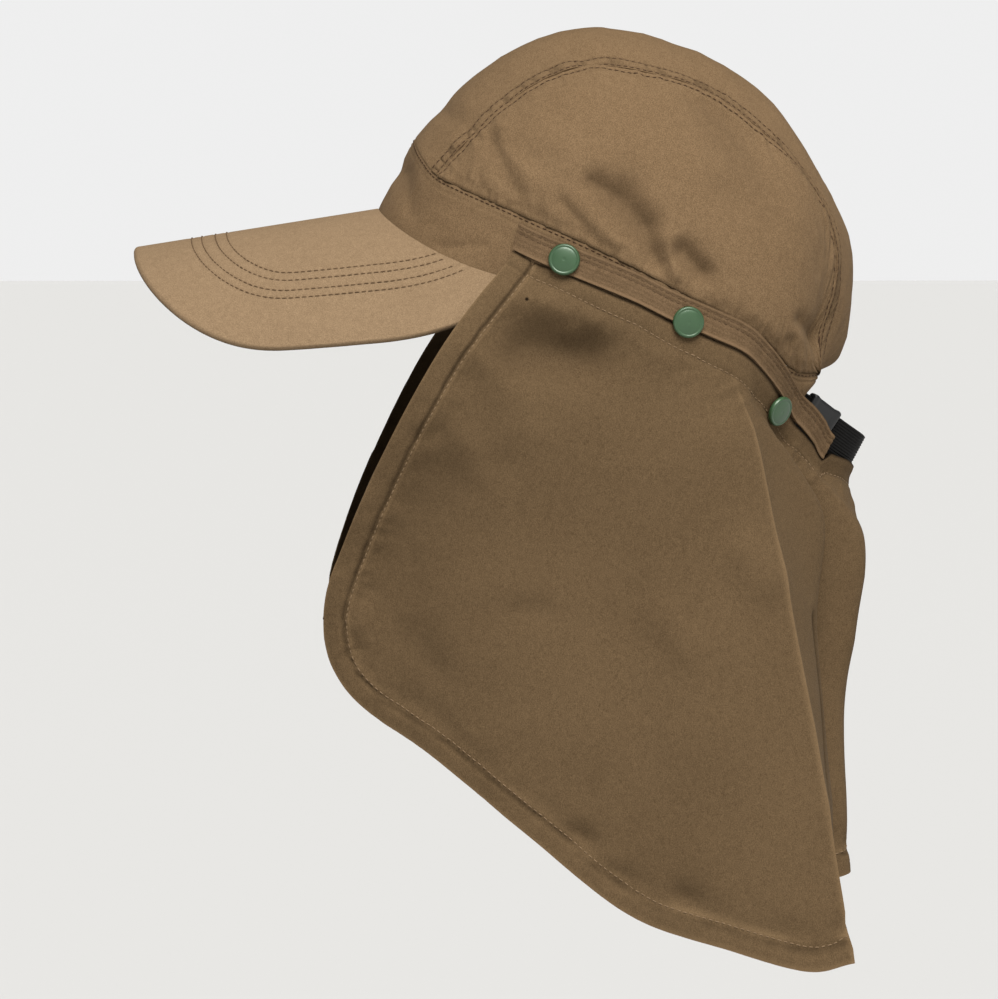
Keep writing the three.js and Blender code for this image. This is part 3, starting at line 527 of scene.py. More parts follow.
def side_grid(side):
    """Bezier sections from the band's seam to the strip's edge: they leave along the band, bulged
    outwards towards the rear, and arrive along the strip's own slope."""
    handle = 0.39
    share, up = np.meshgrid(np.linspace(0.005, 0.998, 380), np.linspace(0, 1, 150), indexing="ij")
    seam = smooth(band_half, blend(STRIP_FRONT_STATION, STRIP_REAR_STATION, share))
    foot = seam[..., 3:]
    head = strip_point(share, np.ones_like(share))
    chord = np.linalg.norm(head - foot, axis=-1, keepdims=True)

    def unit(vector):
        return vector / np.linalg.norm(vector, axis=-1, keepdims=True)

    spread = unit((foot - [0, SEAM_CENTRE, 0]) * [1, 1, 0])
    rise = unit(unit(foot - seam[..., :3]) + spread * blend(0.12, 0.5, share**2)[..., None])
    slope = unit(head - strip_point(share, np.full_like(share, 0.98)))
    t = blend(SEAM_GAP / 2 / chord[..., 0], 1 - SEAM_GAP / 2 / chord[..., 0], up)[..., None]
    first, second = foot + rise * handle * chord, head + slope * handle * chord
    plain = foot * (1 - t) ** 3 + first * 3 * t * (1 - t) ** 2 + second * 3 * t**2 * (1 - t) + head * t**3
    points = worn(plain * [side, 1, 1])
    height, along = run(points, 1) / MM, run(points, 0) / MM
    from_strip = height[:, -1:] - height
    edges = np.minimum(height, from_strip)
    hold = 1 - hump(edges, 5)
    seed = 20 if side > 0 else 30
    deep = 1.3 if side > 0 else 0.9
    fold = creases(points, SIDE_CREASES) / MM * deep * hold
    slack = 1.3 * drift(along / 34, height / 30, seed) + 0.45 * crumple(along / 30, height / 22, seed + 1)
    slack = slack * hold + 0.5 * crumple(along / 7, height / 26, seed + 4) * hump(edges - 5, 6)
    foot_puckers = 0.4 * crumple(along / 3.1, height / 9, seed + 2) * hump(height, 6)
    foot_ridge = 0.25 * hump(height - 1, 1.2) + foot_puckers
    from_row = from_strip - SIDE_STITCH_ROW
    beside = 0.3 * hump(from_strip, 5) - 0.4 * hump(from_row, 0.55) - 0.1 * hump(from_strip, 0.5)
    beside += 0.3 * crumple(along / 4.2, from_strip / 14, seed + 3) * hump(from_strip - 4, 4)
    shift = slack + foot_ridge + beside - fold - 0.1 * hump(height, 0.5)
    # painted shade at the foot of the panel, in its dents and along the row of stitches
    shade = 0.15 * hump(height, 0.7) + 0.05 * np.maximum(fold, 0) + 0.3 * hump(from_row, 0.4)
    return points + outward(points) * (shift * MM)[..., None], np.clip(shade, 0, 0.6)


strip_outer, strip_shade = strip_grid()
strip = cloth_piece("crown_strip", strip_outer, behind(strip_outer, PANEL_THICKNESS), False, strip_shade)
strip.data.materials.append(crown_cloth)
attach(strip, "root")
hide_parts("centre_panel")

SIDES = (("left", 1), ("right", -1))
side_outers = {}
for word, side in SIDES:
    side_outers[word], side_shade = side_grid(side)
    inner = behind(side_outers[word], PANEL_THICKNESS)
    panel = cloth_piece(f"crown_side_{word}", side_outers[word], inner, False, side_shade)
    panel.data.materials.append(crown_cloth)
    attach(panel, "root")
    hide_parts(f"side_panel_{word}")

# Peak: two layers of cloth over a stiff board, bent into an arch. Its edge is turned and pressed
# round, and four rows of stitches follow the edge at a constant distance on the surface.
PEAK_THICKNESS = 3 * MM
PEAK_REACH = 197 * MM
PEAK_ROUND_LENGTH = 80 * MM
PEAK_HALF_WIDTH = 83 * MM
PEAK_PLAN_POWER = 2.9
PEAK_CORNER_SHARE = 0.766
PEAK_ROUND_SHARE = 0.68
# millimetres from the free edge
PEAK_ROWS = [23.5, 27.6, 33.2, 37.8]
PEAK_COLUMNS = 200


def peak_root(share):
    """The peak's join with the band: the band's oval with the layer's gap, as x and y on the floor."""
    width, length = BAND_HALF_WIDTH + LAYER_GAP, BAND_HALF_LENGTH + LAYER_GAP
    return oval(width, length, BAND_PLAN_POWER, share * PEAK_CORNER_SHARE)


def peak_edge(share):
    """Half of the free edge as x and y in the worn frame: an oval round the front, then a curve
    2 t (1 - t) bulge + t squared corner back to the band, averaged over a short stretch."""
    stretch = np.linspace(-0.05, 0.05, 9).reshape((9,) + (1,) * np.ndim(share))
    share = share + stretch * np.minimum(1, np.minimum(share, 1 - share) / 0.05)
    t = np.maximum((share - PEAK_ROUND_SHARE) / (1 - PEAK_ROUND_SHARE), 0)
    front = np.minimum(share / PEAK_ROUND_SHARE, 1)
    x, y = oval(PEAK_HALF_WIDTH, PEAK_ROUND_LENGTH, PEAK_PLAN_POWER, front)
    y = y - (PEAK_REACH - PEAK_ROUND_LENGTH)
    bulge_x, bulge_y = 1.05 * PEAK_HALF_WIDTH, -0.62 * BAND_HALF_LENGTH
    corner_x, corner_y = 0.975 * BAND_HALF_WIDTH, -0.395 * BAND_HALF_LENGTH
    x = blend(blend(x, bulge_x, t), blend(bulge_x, corner_x, t), t)
    y = blend(blend(y, bulge_y, t), blend(bulge_y, corner_y, t), t)
    return np.mean(x, axis=0), np.mean(y, axis=0)


def peak_place(across, outwards, depth):
    """Point at a depth below the upper face: the angle round the arch's axis and the length along it
    both run straight from the join to the free edge."""
    share, side = np.abs(across), np.sign(across)
    radius = PEAK_ARCH_RADIUS - depth
    root_x, root_y = peak_root(share)
    start = worn(np.stack([root_x, root_y, peak_over_floor(root_x, root_y, depth)], axis=-1))
    end_x, end_y = peak_edge(share)
    angle = blend(np.arcsin(start[..., 0] / radius), np.arcsin(end_x / PEAK_ARCH_RADIUS), outwards)
    x, y = radius * np.sin(angle), blend(start[..., 1], end_y, outwards)
    crest = PEAK_CREST_RISE - depth + math.tan(PEAK_PITCH) * (y - PEAK_CREST_ROOT)
    return np.stack([side * x, y, crest - radius + np.sqrt(radius**2 - x**2)], axis=-1)


def unrolled(x, y):
    """The arch laid flat: radius times angle across, and y over the cosine of the pitch along."""
    across = PEAK_ARCH_RADIUS * np.arcsin(x / PEAK_ARCH_RADIUS)
    return np.stack([across, y / math.cos(PEAK_PITCH)], axis=-1)


def peak_row(distance):
    """Row of stitches at a distance from the free edge: on the unrolled arch, whose width is radius
    times angle, each point of the edge moved in along its own normal. It ends at the band."""
    share = np.linspace(-1, 1, 1500)
    x, y = peak_edge(np.abs(share))
    flat = unrolled(np.sign(share) * x, y)
    lean = np.gradient(flat, axis=0)
    lean /= np.linalg.norm(lean, axis=-1, keepdims=True)
    moved = flat + np.stack([-lean[:, 1], lean[:, 0]], axis=-1) * distance
    angle = moved[:, 0] / PEAK_ARCH_RADIUS
    x, y = PEAK_ARCH_RADIUS * np.sin(angle), moved[:, 1] * math.cos(PEAK_PITCH)
    crest = PEAK_CREST_RISE + math.tan(PEAK_PITCH) * (y - PEAK_CREST_ROOT)
    points = np.stack([x, y, crest - PEAK_ARCH_RADIUS * (1 - np.cos(angle))], axis=-1)
    root = peak_place(np.linspace(0, 1, 200), np.zeros(200), 0)
    points = points[y < np.interp(np.abs(x), root[:, 0], root[:, 1]) - 0.8 * MM]
    axis_z = PEAK_CREST_RISE + math.tan(PEAK_PITCH) * (points[:, 1] - PEAK_CREST_ROOT) - PEAK_ARCH_RADIUS
    over_axis = points[:, 2] - axis_z
    normal = np.stack([points[:, 0], -math.sin(PEAK_PITCH) * over_axis, over_axis], axis=-1)
    return points, normal / np.linalg.norm(normal, axis=-1, keepdims=True)


def peak_distance(points):
    """Distance on the unrolled arch from each point to the free edge, in millimetres."""
    share = np.linspace(-1, 1, 400)
    x, y = peak_edge(np.abs(share))
    edge = unrolled(np.sign(share) * x, y)
    flat = unrolled(points[..., 0], points[..., 1])
    gaps = [np.min(np.linalg.norm(row[:, None, :] - edge[None], axis=-1), axis=1) for row in flat]
    return np.array(gaps) / MM


def peak_grids():
    """Upper face, half a circle round the edge, and lower face; the upper one is pressed in along
    the rows of stitches."""
    across = np.linspace(-1, 1, PEAK_COLUMNS)[:, None]
    outwards = np.linspace(0, 1, 90)[None, :] ** 0.9
    half = PEAK_THICKNESS / 2
    root, tip = (peak_place(across, place + 0 * across, half) for place in (0, 1))
    section = np.linalg.norm(tip - root, axis=-1)
    stop = 1 - half / section
    upper = peak_place(across + 0 * outwards, outwards * stop, 0)
    lower = peak_place(across + 0 * outwards, outwards * stop, PEAK_THICKNESS)
    middle = peak_place(across, stop, half)
    away = peak_place(across, np.ones_like(stop), half) - middle
    away /= np.linalg.norm(away, axis=-1, keepdims=True)
    over = upper[:, -1:] - middle
    turn = np.linspace(0, math.pi, 12)[None, 1:-1, None]
    round_edge = middle + np.cos(turn) * over + np.sin(turn) * half * away
    distance = peak_distance(upper)
    press = sum(0.22 * hump(distance - row, 0.55) for row in PEAK_ROWS)
    quilt = 0.1 * drift(run(upper, 0) / MM / 3.2, distance / 4, 41) * hump(distance - 30.5, 9)
    # painted shade in the pressed rows of stitches
    shade = np.clip(0.5 * press, 0, 1)
    upper = upper + outward(upper) * ((quilt - press) * MM)[..., None]
    return upper, lower, round_edge, shade


peak_upper, peak_lower, peak_round, peak_shade = peak_grids()
turned = peak_round.shape[1] // 2
peak_outer = np.concatenate([peak_upper, peak_round[:, :turned]], axis=1)
peak_inner = np.concatenate([peak_lower, peak_round[:, : turned - 1 : -1]], axis=1)
# painted shade on the rounded edge
peak_painted_shade = np.concatenate([peak_shade, np.full((PEAK_COLUMNS, turned), 0.12)], axis=1)
peak = cloth_piece("peak_cover", peak_outer, peak_inner, False, peak_painted_shade)
# 0.45 of the inside share is painted shade on the peak's lower face
peak_cloth = woven("peak_cloth", (0.283, 0.195, 0.115), (0.165, 0.109, 0.062), 0.45, relief=0.4)
peak.data.materials.append(peak_cloth)
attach(peak, "root")
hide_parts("peak")

# Snap tape: a folded strip of the crown's cloth along each side of the band. It is sewn down along
# its upper part by two rows of stitches, and the neck flap is snapped on below its free lower edge.
TAPE_THICKNESS = 1.4 * MM
TAPE_WIDTH = 10.4 * MM
TAPE_FRONT_STATION = 5.73
TAPE_REAR_STATION = 16.9
HANG_FIRST_STATION = 5
TAIL_ROWS = [(0.494, 0.731), (0.419, 0.799), (0.35, 0.868), (0.194, 0.963), (0, 1.008)]
# millimetres below the tape's upper edge
TAPE_STITCH_ROWS = (1.9, 3.9)
HANG_HEIGHTS = [
    0.066, 0.063, 0.077, 0.098, 0.103, 0.116, 0.123, 0.096, 0.057, 0.01, -0.011, -0.036, -0.07,
    -0.052, -0.05,
]


def hang_rows():
    """The line that the flap hangs from: it lies on the band, leaves it at the arch with a wall of
    the tape's width, and goes one row past the middle of the back."""
    on_band = band_half[HANG_FIRST_STATION : len(FRONT_SEAM_HEIGHTS) + 6]
    x, y = np.array(TAIL_ROWS).T * [[BAND_HALF_WIDTH], [BAND_HALF_LENGTH]]
    tail = np.stack([x, y, 0 * x, x, y, 0 * x + TAPE_WIDTH], axis=-1)
    heights = np.array(HANG_HEIGHTS)[:, None] * CROWN_HEIGHT
    rows = np.hstack([np.vstack([on_band, tail]), heights])
    return np.vstack([rows, rows[-2] * [-1, 1, 1, -1, 1, 1, 1]])


hanging = hang_rows()


def hang_point(station, rise, extra=0.0):
    """Point over the band at a height above the hang line: moved out from the band by the tape's
    thickness, the layer's gap and an extra, square to the line's direction in plan."""

    def over(place):
        x, y, z, seam_x, seam_y, seam_z, hang = np.moveaxis(smooth(hanging, place), -1, 0)
        share = np.clip((hang + rise - z) / (seam_z - z), 0, 1)
        return np.stack([blend(x, seam_x, share), blend(y, seam_y, share), hang + rise], axis=-1)

    place = station - HANG_FIRST_STATION
    here = over(place)
    lean = over(place + 0.02) - over(place - 0.02)
    size = np.hypot(lean[..., 0], lean[..., 1])
    facing = np.stack([lean[..., 1] / size, -lean[..., 0] / size, 0 * size], axis=-1)
    stand_off = np.asarray(TAPE_THICKNESS + LAYER_GAP + extra) * np.ones_like(size)
    return here + facing * stand_off[..., None], facing


def tape_grid(side):
    """hang_point over the tape's length and width, pressed in on its two rows of stitches, with a
    thicker fold along both edges and small puckers between."""
    station, up = np.meshgrid(
        np.linspace(TAPE_FRONT_STATION, TAPE_REAR_STATION, 420), np.linspace(0, 1, 30), indexing="ij"
    )
    place, _ = hang_point(station, 0.45 * MM + up * TAPE_WIDTH)
    points = worn(place * [side, 1, 1])
    along, height = run(points, 0) / MM, run(points, 1) / MM
    from_top = height[:, -1:] - height
    seed = 50 if side > 0 else 60
    press = sum(0.34 * hump(from_top - row, 0.5) for row in TAPE_STITCH_ROWS)
    pucker = 0.3 * drift(along / 2.2, height / 5, seed) * hump(from_top - 3, 2.6)
    ends = np.minimum(along, along[-1:] - along)
    lift = 0.45 * (drift(along / 17, 0 * along, seed + 1) + 1) * (1 - up) ** 2 * np.minimum(ends / 16, 1)
    lift += 0.25 * crumple(along / 9, height / 14, seed + 2) + 0.05 * np.cos(from_top * 2 * math.pi / 1.9)
    fold = 0.25 * hump(height, 1.1) + 0.2 * hump(from_top, 1) + 0.3 * hump(ends - 0.6, 1.2)
    shift = lift + fold + pucker - press - 0.3 * hump(from_top, 0.4)
    # painted highlight along the two folded edges
    rubbed_and_highlight = 0.3 * hump(from_top - 0.7, 0.4) + 0.3 * hump(height - 0.7, 0.5)
    # painted shade in the pressed rows and along the upper edge, less the painted highlight
    shade = 0.4 * press + 0.3 * hump(from_top, 0.25) - rubbed_and_highlight
    return points + outward(points) * (shift * MM)[..., None], shade, from_top, along


# The tape is the crown's cloth with a darker colour: painted shade.
shaded_tape_cloth = woven("shaded_tape_cloth", (0.165, 0.106, 0.059), (0.089, 0.055, 0.028), relief=0.6)
tapes = {}
for word, side in SIDES:
    tapes[word] = tape_grid(side)
    outer, tape_shade = tapes[word][:2]
    inner = behind(outer, TAPE_THICKNESS)
    tape = cloth_piece(f"snap_tape_cover_{word}", outer, inner, False, tape_shade)
    tape.data.materials.append(shaded_tape_cloth)
    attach(tape, "root")
    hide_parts(f"snap_tape_{word}")

# Neck flap: one layer of thin cloth that falls from the tape over both sides and the back. A sharp
# fold turns each side into the back. Its hem is turned twice and sewn, which gathers the cloth above
# it, and a second row of stitches crosses it under the tape.
CAPE_THICKNESS = 1.1 * MM
CAPE_DROP = 250 * MM
COLLAR_STAND = 0.35 * MM
COLLAR_FLARE = 0.06
# millimetres: hem, row under the tape, and how far the front corner turns in
HEM_WIDTH = 9.6
COLLAR_ROW = 8
CORNER_TUCK = 9
SIDE_LINES = 132
BACK_LINES = 78
FLAP_KHAKI = (0.145, 0.095, 0.05)
FLAP_DARK = (0.073, 0.046, 0.023)
SPECK_PLACE = np.array([-40.7, 13.4]) * MM
# station, collar in millimetres, then x, y and z of the shoulder, the waist and the hem
SIDE_CAPE_ROWS = np.array([
    (5.73, 2, 1.1, -0.685, -0.024, 1.013, -0.955, -0.253, 0.85, -1.12, -0.446),
    (5.95, 2, 1.1, -0.625, -0.034, 1.01, -0.865, -0.28, 0.838, -1.09, -0.526),
    (6.2, 3, 1.095, -0.55, -0.046, 1, -0.76, -0.304, 0.86, -0.955, -0.594),
    (6.8, 5, 1.085, -0.378, -0.072, 1.05, -0.54, -0.34, 0.925, -0.69, -0.668),
    (7.4, 7, 1.07, -0.192, -0.096, 1.06, -0.3, -0.376, 0.985, -0.365, -0.786),
    (8, 8, 1.065, 0, -0.12, 1.055, -0.04, -0.404, 1, 0, -0.913),
    (9, 9, 1.055, 0.184, -0.14, 1.065, 0.2, -0.424, 1.03, 0.365, -0.968),
    (10, 9, 1.025, 0.347, -0.15, 1.04, 0.4, -0.436, 1.015, 0.64, -1.002),
    (10.8, 9, 0.975, 0.443, -0.152, 0.975, 0.575, -0.44, 0.975, 0.805, -0.992),
])
BACK_CAPE_ROWS = np.vstack([
    SIDE_CAPE_ROWS[-1],
    (12.4, 12, 0.775, 0.54, -0.17, 0.775, 0.645, -0.448, 0.775, 0.785, -0.955),
    (14.1, 12, 0.556, 0.717, -0.28, 0.56, 0.7, -0.472, 0.575, 0.765, -0.915),
    (15, 6, 0.46, 0.68, -0.3, 0.45, 0.61, -0.5, 0.475, 0.67, -0.9),
    (16, 5, 0.405, 0.78, -0.315, 0.385, 0.71, -0.56, 0.39, 0.765, -0.89),
    (17, 4, 0.33, 0.885, -0.33, 0.31, 0.815, -0.62, 0.3, 0.85, -0.882),
    (18, 4, 0.15, 0.895, -0.335, 0.14, 0.83, -0.62, 0.15, 0.82, -0.875),
    (19, 4, 0, 0.9, -0.338, 0, 0.835, -0.62, 0, 0.79, -0.868),
])
# from y, z to y, z, then width, depth and sharpness, in millimetres as seen from the side
CAPE_CREASES = [
    (-40, -4, -20, -7, 12, 9, 0),
    (-34, 12, -12, 6, 5, -2.5, 0),
    (-16, 11.5, -10.6, 4.1, 4, 2.2, 0.3),
    (-73.3, -56.7, -103.8, -103.5, 14, 3.5, 0),
    (-77.6, -131.6, -90.1, -119.1, 9, 2.2, 0.2),
    (-44.5, -108.2, -35.5, -107.4, 6, 1.4, 0.4),
    (-23.4, -194, -17, -198, 4, 2.2, 0.4),
    (-8.6, -210.8, -2, -214, 4, 2.2, 0.4),
    (19.9, -219.7, 25, -222, 5, 2.2, 0.4),
    (45.6, -86, 52, -95, 9, -2.5, 0),
    (21.4, -122.2, 12, -110, 8, -1.6, 0),
    (-25.8, 13.5, -24, 3, 5, -2.4, 0),
    (-112.3, -98.4, -105, -98, 3, 1.5, 0.6),
    (-108.4, -106.2, -101, -105, 3, 1.5, 0.6),
    (27.7, -6, 36.6, -10.7, 1.5, -0.9, 0.5),
    (-96, -150, -88, -128, 14, 2.4, 0),
    (-60, -20, -52, -48, 10, 2.2, 0),
]
BACK_CREASES = [(75, -112, 77.5, -142.5, 0.8, 2, 0.6), (77.5, -142.5, 78.5, -206, 0.8, 2, 0.6)]


def fall_line(knots, place):
    """Centripetal spline through each line's knots: cubic pieces whose slopes weigh the steps before
    and after by the square root of their length."""
    ends = [2 * knots[:, :1] - knots[:, 1:2], knots, 2 * knots[:, -1:] - knots[:, -2:-1]]
    knots = np.concatenate(ends, axis=1)
    first = np.minimum(np.floor(place).astype(int), knots.shape[1] - 4)
    t = (place - first)[None, :, None]
    a, b, c, d = (knots[:, first + k] for k in range(4))
    steps = ((a, b), (b, c), (c, d))
    before, here, after = (np.sqrt(np.linalg.norm(q - p, axis=-1, keepdims=True)) for p, q in steps)
    slope_in = ((b - a) / before - (c - a) / (before + here) + (c - b) / here) * here
    slope_out = ((c - b) / here - (d - b) / (here + after) + (d - c) / after) * here
    square = 3 * (c - b) - 2 * slope_in - slope_out
    cube = 2 * (b - c) + slope_in + slope_out
    return b + slope_in * t + square * t**2 + cube * t**3


def cape_lines(rows, count, side):
    """Lines from the tape over collar, shoulder and waist to the hem, for places between the rows."""
    row = smooth(rows, np.linspace(0, len(rows) - 1, count))
    station, collar = row[:, 0], row[:, 1] * MM
    below_tape = 0.1 + 0.5 * np.abs(drift(station * 1.3 + 30 * (side < 0), 0 * station, 77))
    behind_strap = np.interp(station, [16.95, 17.2, 18, 19], [0, 4.2, 3, 1])
    top, _ = hang_point(station, np.where(station < 16.95, -below_tape, behind_strap) * MM, COLLAR_STAND)
    flat, _ = hang_point(station, -collar, COLLAR_STAND + collar * COLLAR_FLARE)
    scale = [BAND_HALF_WIDTH, BAND_HALF_LENGTH, CAPE_DROP]
    knots = [worn(top), worn(flat)] + [row[:, k : k + 3] * scale for k in (2, 5, 8)]
    level = np.interp(np.linspace(0, 1, 116), [0, 0.06, 0.3, 0.58, 1], [0, 1, 2, 3, 4])
    return fall_line(np.stack(knots, axis=1) * [side, 1, 1], level)


def cape_grid():
    """All lines from one front edge round the back to the other, with folds, slack, the hem's
    thickness and gathers, and the pressed row under the tape. It also gives each point's distance
    to the free edge, where along that edge it is, and its distance to the row under the tape."""
    near_side, far_side = (cape_lines(SIDE_CAPE_ROWS, SIDE_LINES, side) for side in (1, -1))
    near_back, far_back = (cape_lines(BACK_CAPE_ROWS, BACK_LINES, side) for side in (1, -1))
    points = np.concatenate([near_side, near_back[1:], far_back[-2::-1], far_side[-2::-1]])
    edge = np.concatenate([points[0, :-1], points[:, -1], points[-1, -2::-1]])
    gone = np.concatenate([[0], np.cumsum(np.linalg.norm(np.diff(edge, axis=0), axis=-1))]) / MM
    gaps = [np.linalg.norm(line[:, None] - edge[None], axis=-1) for line in points]
    inwards = np.array([np.min(gap, axis=1) for gap in gaps]) / MM
    nearest = np.array([np.argmin(gap, axis=1) for gap in gaps])
    around = gone[:, None] + np.linspace(-24, 24, 17)
    rounded = np.stack([np.mean(np.interp(around, gone, part), axis=1) for part in edge.T], axis=-1)
    corner = gone[len(points[0]) - 1]
    turned = np.maximum(hump(gone - corner, 34), hump(gone - gone[-1] + corner, 34))[:, None]
    drawn = ((rounded - edge) * turned)[nearest]
    points = points + drawn * hump(inwards, 22)[..., None]
    forwards = np.clip((-points[..., 1] / MM - 40) / 60, 0, 1)
    tucked = CORNER_TUCK * forwards**2 * np.clip(-points[..., 2] / MM / 90, 0, 1)
    points = points - np.sign(points[..., :1]) * [MM, 0, 0] * tucked[..., None]
    along = gone[nearest]
    down = run(points, 1) / MM
    hold = 1 - hump(down, 14)
    y, z = points[..., 1] / MM, points[..., 2] / MM
    on_side = np.abs(points[..., 0]) / BAND_HALF_WIDTH
    flank = np.clip((on_side - 0.8) / 0.12, 0, 1)
    share = np.where(points[..., 0] > 0, 1, 0.6)
    fold = creases(points, CAPE_CREASES) / MM * flank * share
    near_back = np.clip((on_side - 0.6) / 0.06, 0, 1) * np.clip((0.92 - on_side) / 0.06, 0, 1)
    slit = creases(points, BACK_CREASES) / MM * near_back * (points[..., 0] > 0)
    turn = np.where(points[..., 0] > 0, 0, 40)
    slack = 2.2 * drift(y / 62 + turn, z / 85, 71) + 0.5 * drift(y / 19 + turn, z / 26, 72)
    slack += 0.55 * crumple(y / 44 + turn, z / 60, 79)
    hem = 0.45 / (1 + np.exp((inwards - HEM_WIDTH + 1) / 0.25))
    groove = HEM_WIDTH - 1 + 0.35 * drift(along / 5, 0 * along, 78)
    press = 0.65 * hump(inwards - groove, 0.75) - 0.3 * hump(inwards - HEM_WIDTH - 0.5, 0.8)
    gather = 0.9 * crumple(along / 13, inwards / 30, 73) + 0.3 * crumple(along / 4, inwards / 9, 74)
    gather = gather * hump(inwards - HEM_WIDTH - 2.5, 6)
    hem_ripple = 0.3 * crumple(along / 12, inwards / 14, 75) * (inwards < HEM_WIDTH)
    columns = run(points, 0) / MM
    collar_row = COLLAR_ROW + np.interp(columns, [0, 60, 112, 135], [-2.8, 0, 2.6, 0])
    collar = 0.45 * hump(down - collar_row, 0.7) + 0.4 * hump(down, 1.5)
    below_collar = 0.6 * crumple(columns / 9, down / 26, 76) * hump(down - collar_row - 6, 7)
    near_fold, far_fold = columns[SIDE_LINES - 1], columns[-SIDE_LINES]
    from_fold = np.minimum(np.abs(columns - near_fold), np.abs(columns - far_fold))
    fold_edge = hump(from_fold, 0.9) * (1 - hump(down, 22))
    raised = hem + hem_ripple + below_collar + 0.4 * fold_edge
    shift = (slack - fold) * hold + raised - slit - gather - press - collar
    # painted shade in the hem's groove, along the row under the tape and in the gap under the tape
    shade = 0.8 * np.maximum(press, 0) + 0.25 * hump(down - collar_row, 0.7) + 0.85 * hump(down, 0.5)
    # painted shade along the slit and in the creases
    shade += 0.5 * slit + 0.03 * np.maximum(fold, 0)
    # painted highlights along the sharp folds, the free edge and the ridge beside the hem's row
    shade -= 0.4 * fold_edge + 0.25 * hump(inwards, 0.6) * (down > 4)
    shade -= 0.3 * hump(inwards - HEM_WIDTH - 0.9, 0.5)
    normal = outward(points)
    return points + normal * (shift * MM)[..., None], shade, inwards, along, down - collar_row


cape_outer, cape_shade, cape_inwards, cape_along, cape_below = cape_grid()
cape_inner = behind(cape_outer, CAPE_THICKNESS)
cape = cloth_piece("neck_flap", cape_outer, cape_inner, False, np.clip(cape_shade, -0.5, 0.85))
near_front = cape_outer[: SIDE_LINES - 1].reshape(-1, 3)
speck = near_front[np.argmin(np.linalg.norm(near_front[:, 1:] - SPECK_PLACE, axis=-1))]
# 0.86 of the inside share is painted shade on the flap's inner face
flap_cloth = woven("flap_cloth", FLAP_KHAKI, FLAP_DARK, 0.86, relief=0.45, speck=speck)
cape.data.materials.append(flap_cloth)
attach(cape, "root")
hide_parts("cape")

# Stitches: brown, khaki or pale thread, one short float after another, dipping in at its ends.
# They are laid along lines of constant distance from an edge or a seam, on the finished cloth.
STITCH_PITCH = 2.6 * MM
STITCH_LENGTH = 1.9 * MM
THREAD_RADIUS = 0.22 * MM


def level_line(grid, field, value, along, keep=None):
    """Points where a field on a grid passes a value, in order of a second field, with the cloth's
    normal there: straight interpolation on every grid line that the value crosses."""
    stacked = np.concatenate([grid, outward(grid), along[..., None]], axis=-1)
    found = []
    for axis in (0, 1):
        first, second = range(field.shape[axis] - 1), range(1, field.shape[axis])
        start, end = np.take(field, first, axis=axis), np.take(field, second, axis=axis)
        crossing = (start - value) * (end - value) < 0
        if keep is not None:
            crossing &= np.take(keep, first, axis=axis)
        t = ((value - start[crossing]) / (end - start)[crossing])[:, None]
        low, high = (np.take(stacked, place, axis=axis)[crossing] for place in (first, second))
        found.append(blend(low, high, t))
    found = np.vstack(found)
    found = found[np.argsort(found[:, 6])]
    return found[:, :3], found[:, 3:6]


def thread_rows(name, rows):
    """One mesh of stitches for several lines: rings of six points at four places along each float,
    narrow and sunk at its ends."""
    turn = np.linspace(0, 2 * math.pi, 6, endpoint=False)
    along = np.array([-0.5, -0.3, 0.3, 0.5])[:, None] * STITCH_LENGTH
    girth = np.array([0.45, 1, 1, 0.45])[:, None] * THREAD_RADIUS
    lift = np.array([-0.9, 0.25, 0.25, -0.9])[:, None] * THREAD_RADIUS
    vertices = []
    for points, normals in rows:
        gone = np.concatenate([[0], np.cumsum(np.linalg.norm(np.diff(points, axis=0), axis=-1))])
        centre = np.arange(0.7 * STITCH_PITCH, gone[-1] - 0.5 * STITCH_PITCH, STITCH_PITCH)

        def at(where, column):
            return np.stack([np.interp(where, gone, part) for part in column.T], axis=-1)

        ahead = at(centre + STITCH_PITCH / 2, points) - at(centre - STITCH_PITCH / 2, points)
        size = np.linalg.norm(ahead, axis=-1)
        whole = size > 0.8 * STITCH_PITCH
        centre, ahead = centre[whole], ahead[whole] / size[whole, None]
        normal = at(centre, normals)
        sideways = np.cross(ahead, normal)
        sideways /= np.linalg.norm(sideways, axis=-1, keepdims=True)
        middle = at(centre, points)[:, None, None, :]
        ring = middle + ahead[:, None, None, :] * along[None, :, :, None]
        ring = ring + sideways[:, None, None, :] * (girth * np.cos(turn))[None, :, :, None]
        ring = ring + normal[:, None, None, :] * (girth * np.sin(turn) + lift)[None, :, :, None]
        vertices.append(ring.reshape(-1, 24, 3))
    vertices = np.concatenate(vertices)
    ring, ahead = np.arange(6), (np.arange(6) + 1) % 6
    hoop = np.stack([ring, ahead, ahead + 6, ring + 6], axis=-1)
    tube = [hoop + 6 * k for k in range(3)]
    caps = [[(0, 3, 2, 1), (0, 5, 4, 3)], [(18, 19, 20, 21), (18, 21, 22, 23)]]
    faces = np.vstack(tube + caps)
    faces = faces[None] + 24 * np.arange(len(vertices))[:, None, None]
    mesh = bpy.data.meshes.new(name)
    mesh.from_pydata(vertices.reshape(-1, 3).tolist(), [], faces.reshape(-1, 4).tolist())
    return finished(name, mesh)


def thread_finish(name, colour, dark):
    """Spun thread: fine slanting plies in the bump, and a tone that changes from float to float."""
    material, wire, shader = new_material(name)
    place = wire.node("ShaderNodeTexCoord", output=3)
    wire.noise(place, 700, 1).between(dark, colour).into(shader.inputs["Base Color"])
    shader.inputs["Roughness"].default_value = 0.7
    shader.inputs["Specular IOR Level"].default_value = 0.08
    emboss(wire, shader, 0.5, 0.05, wire.noise(place, 4000))
    return material


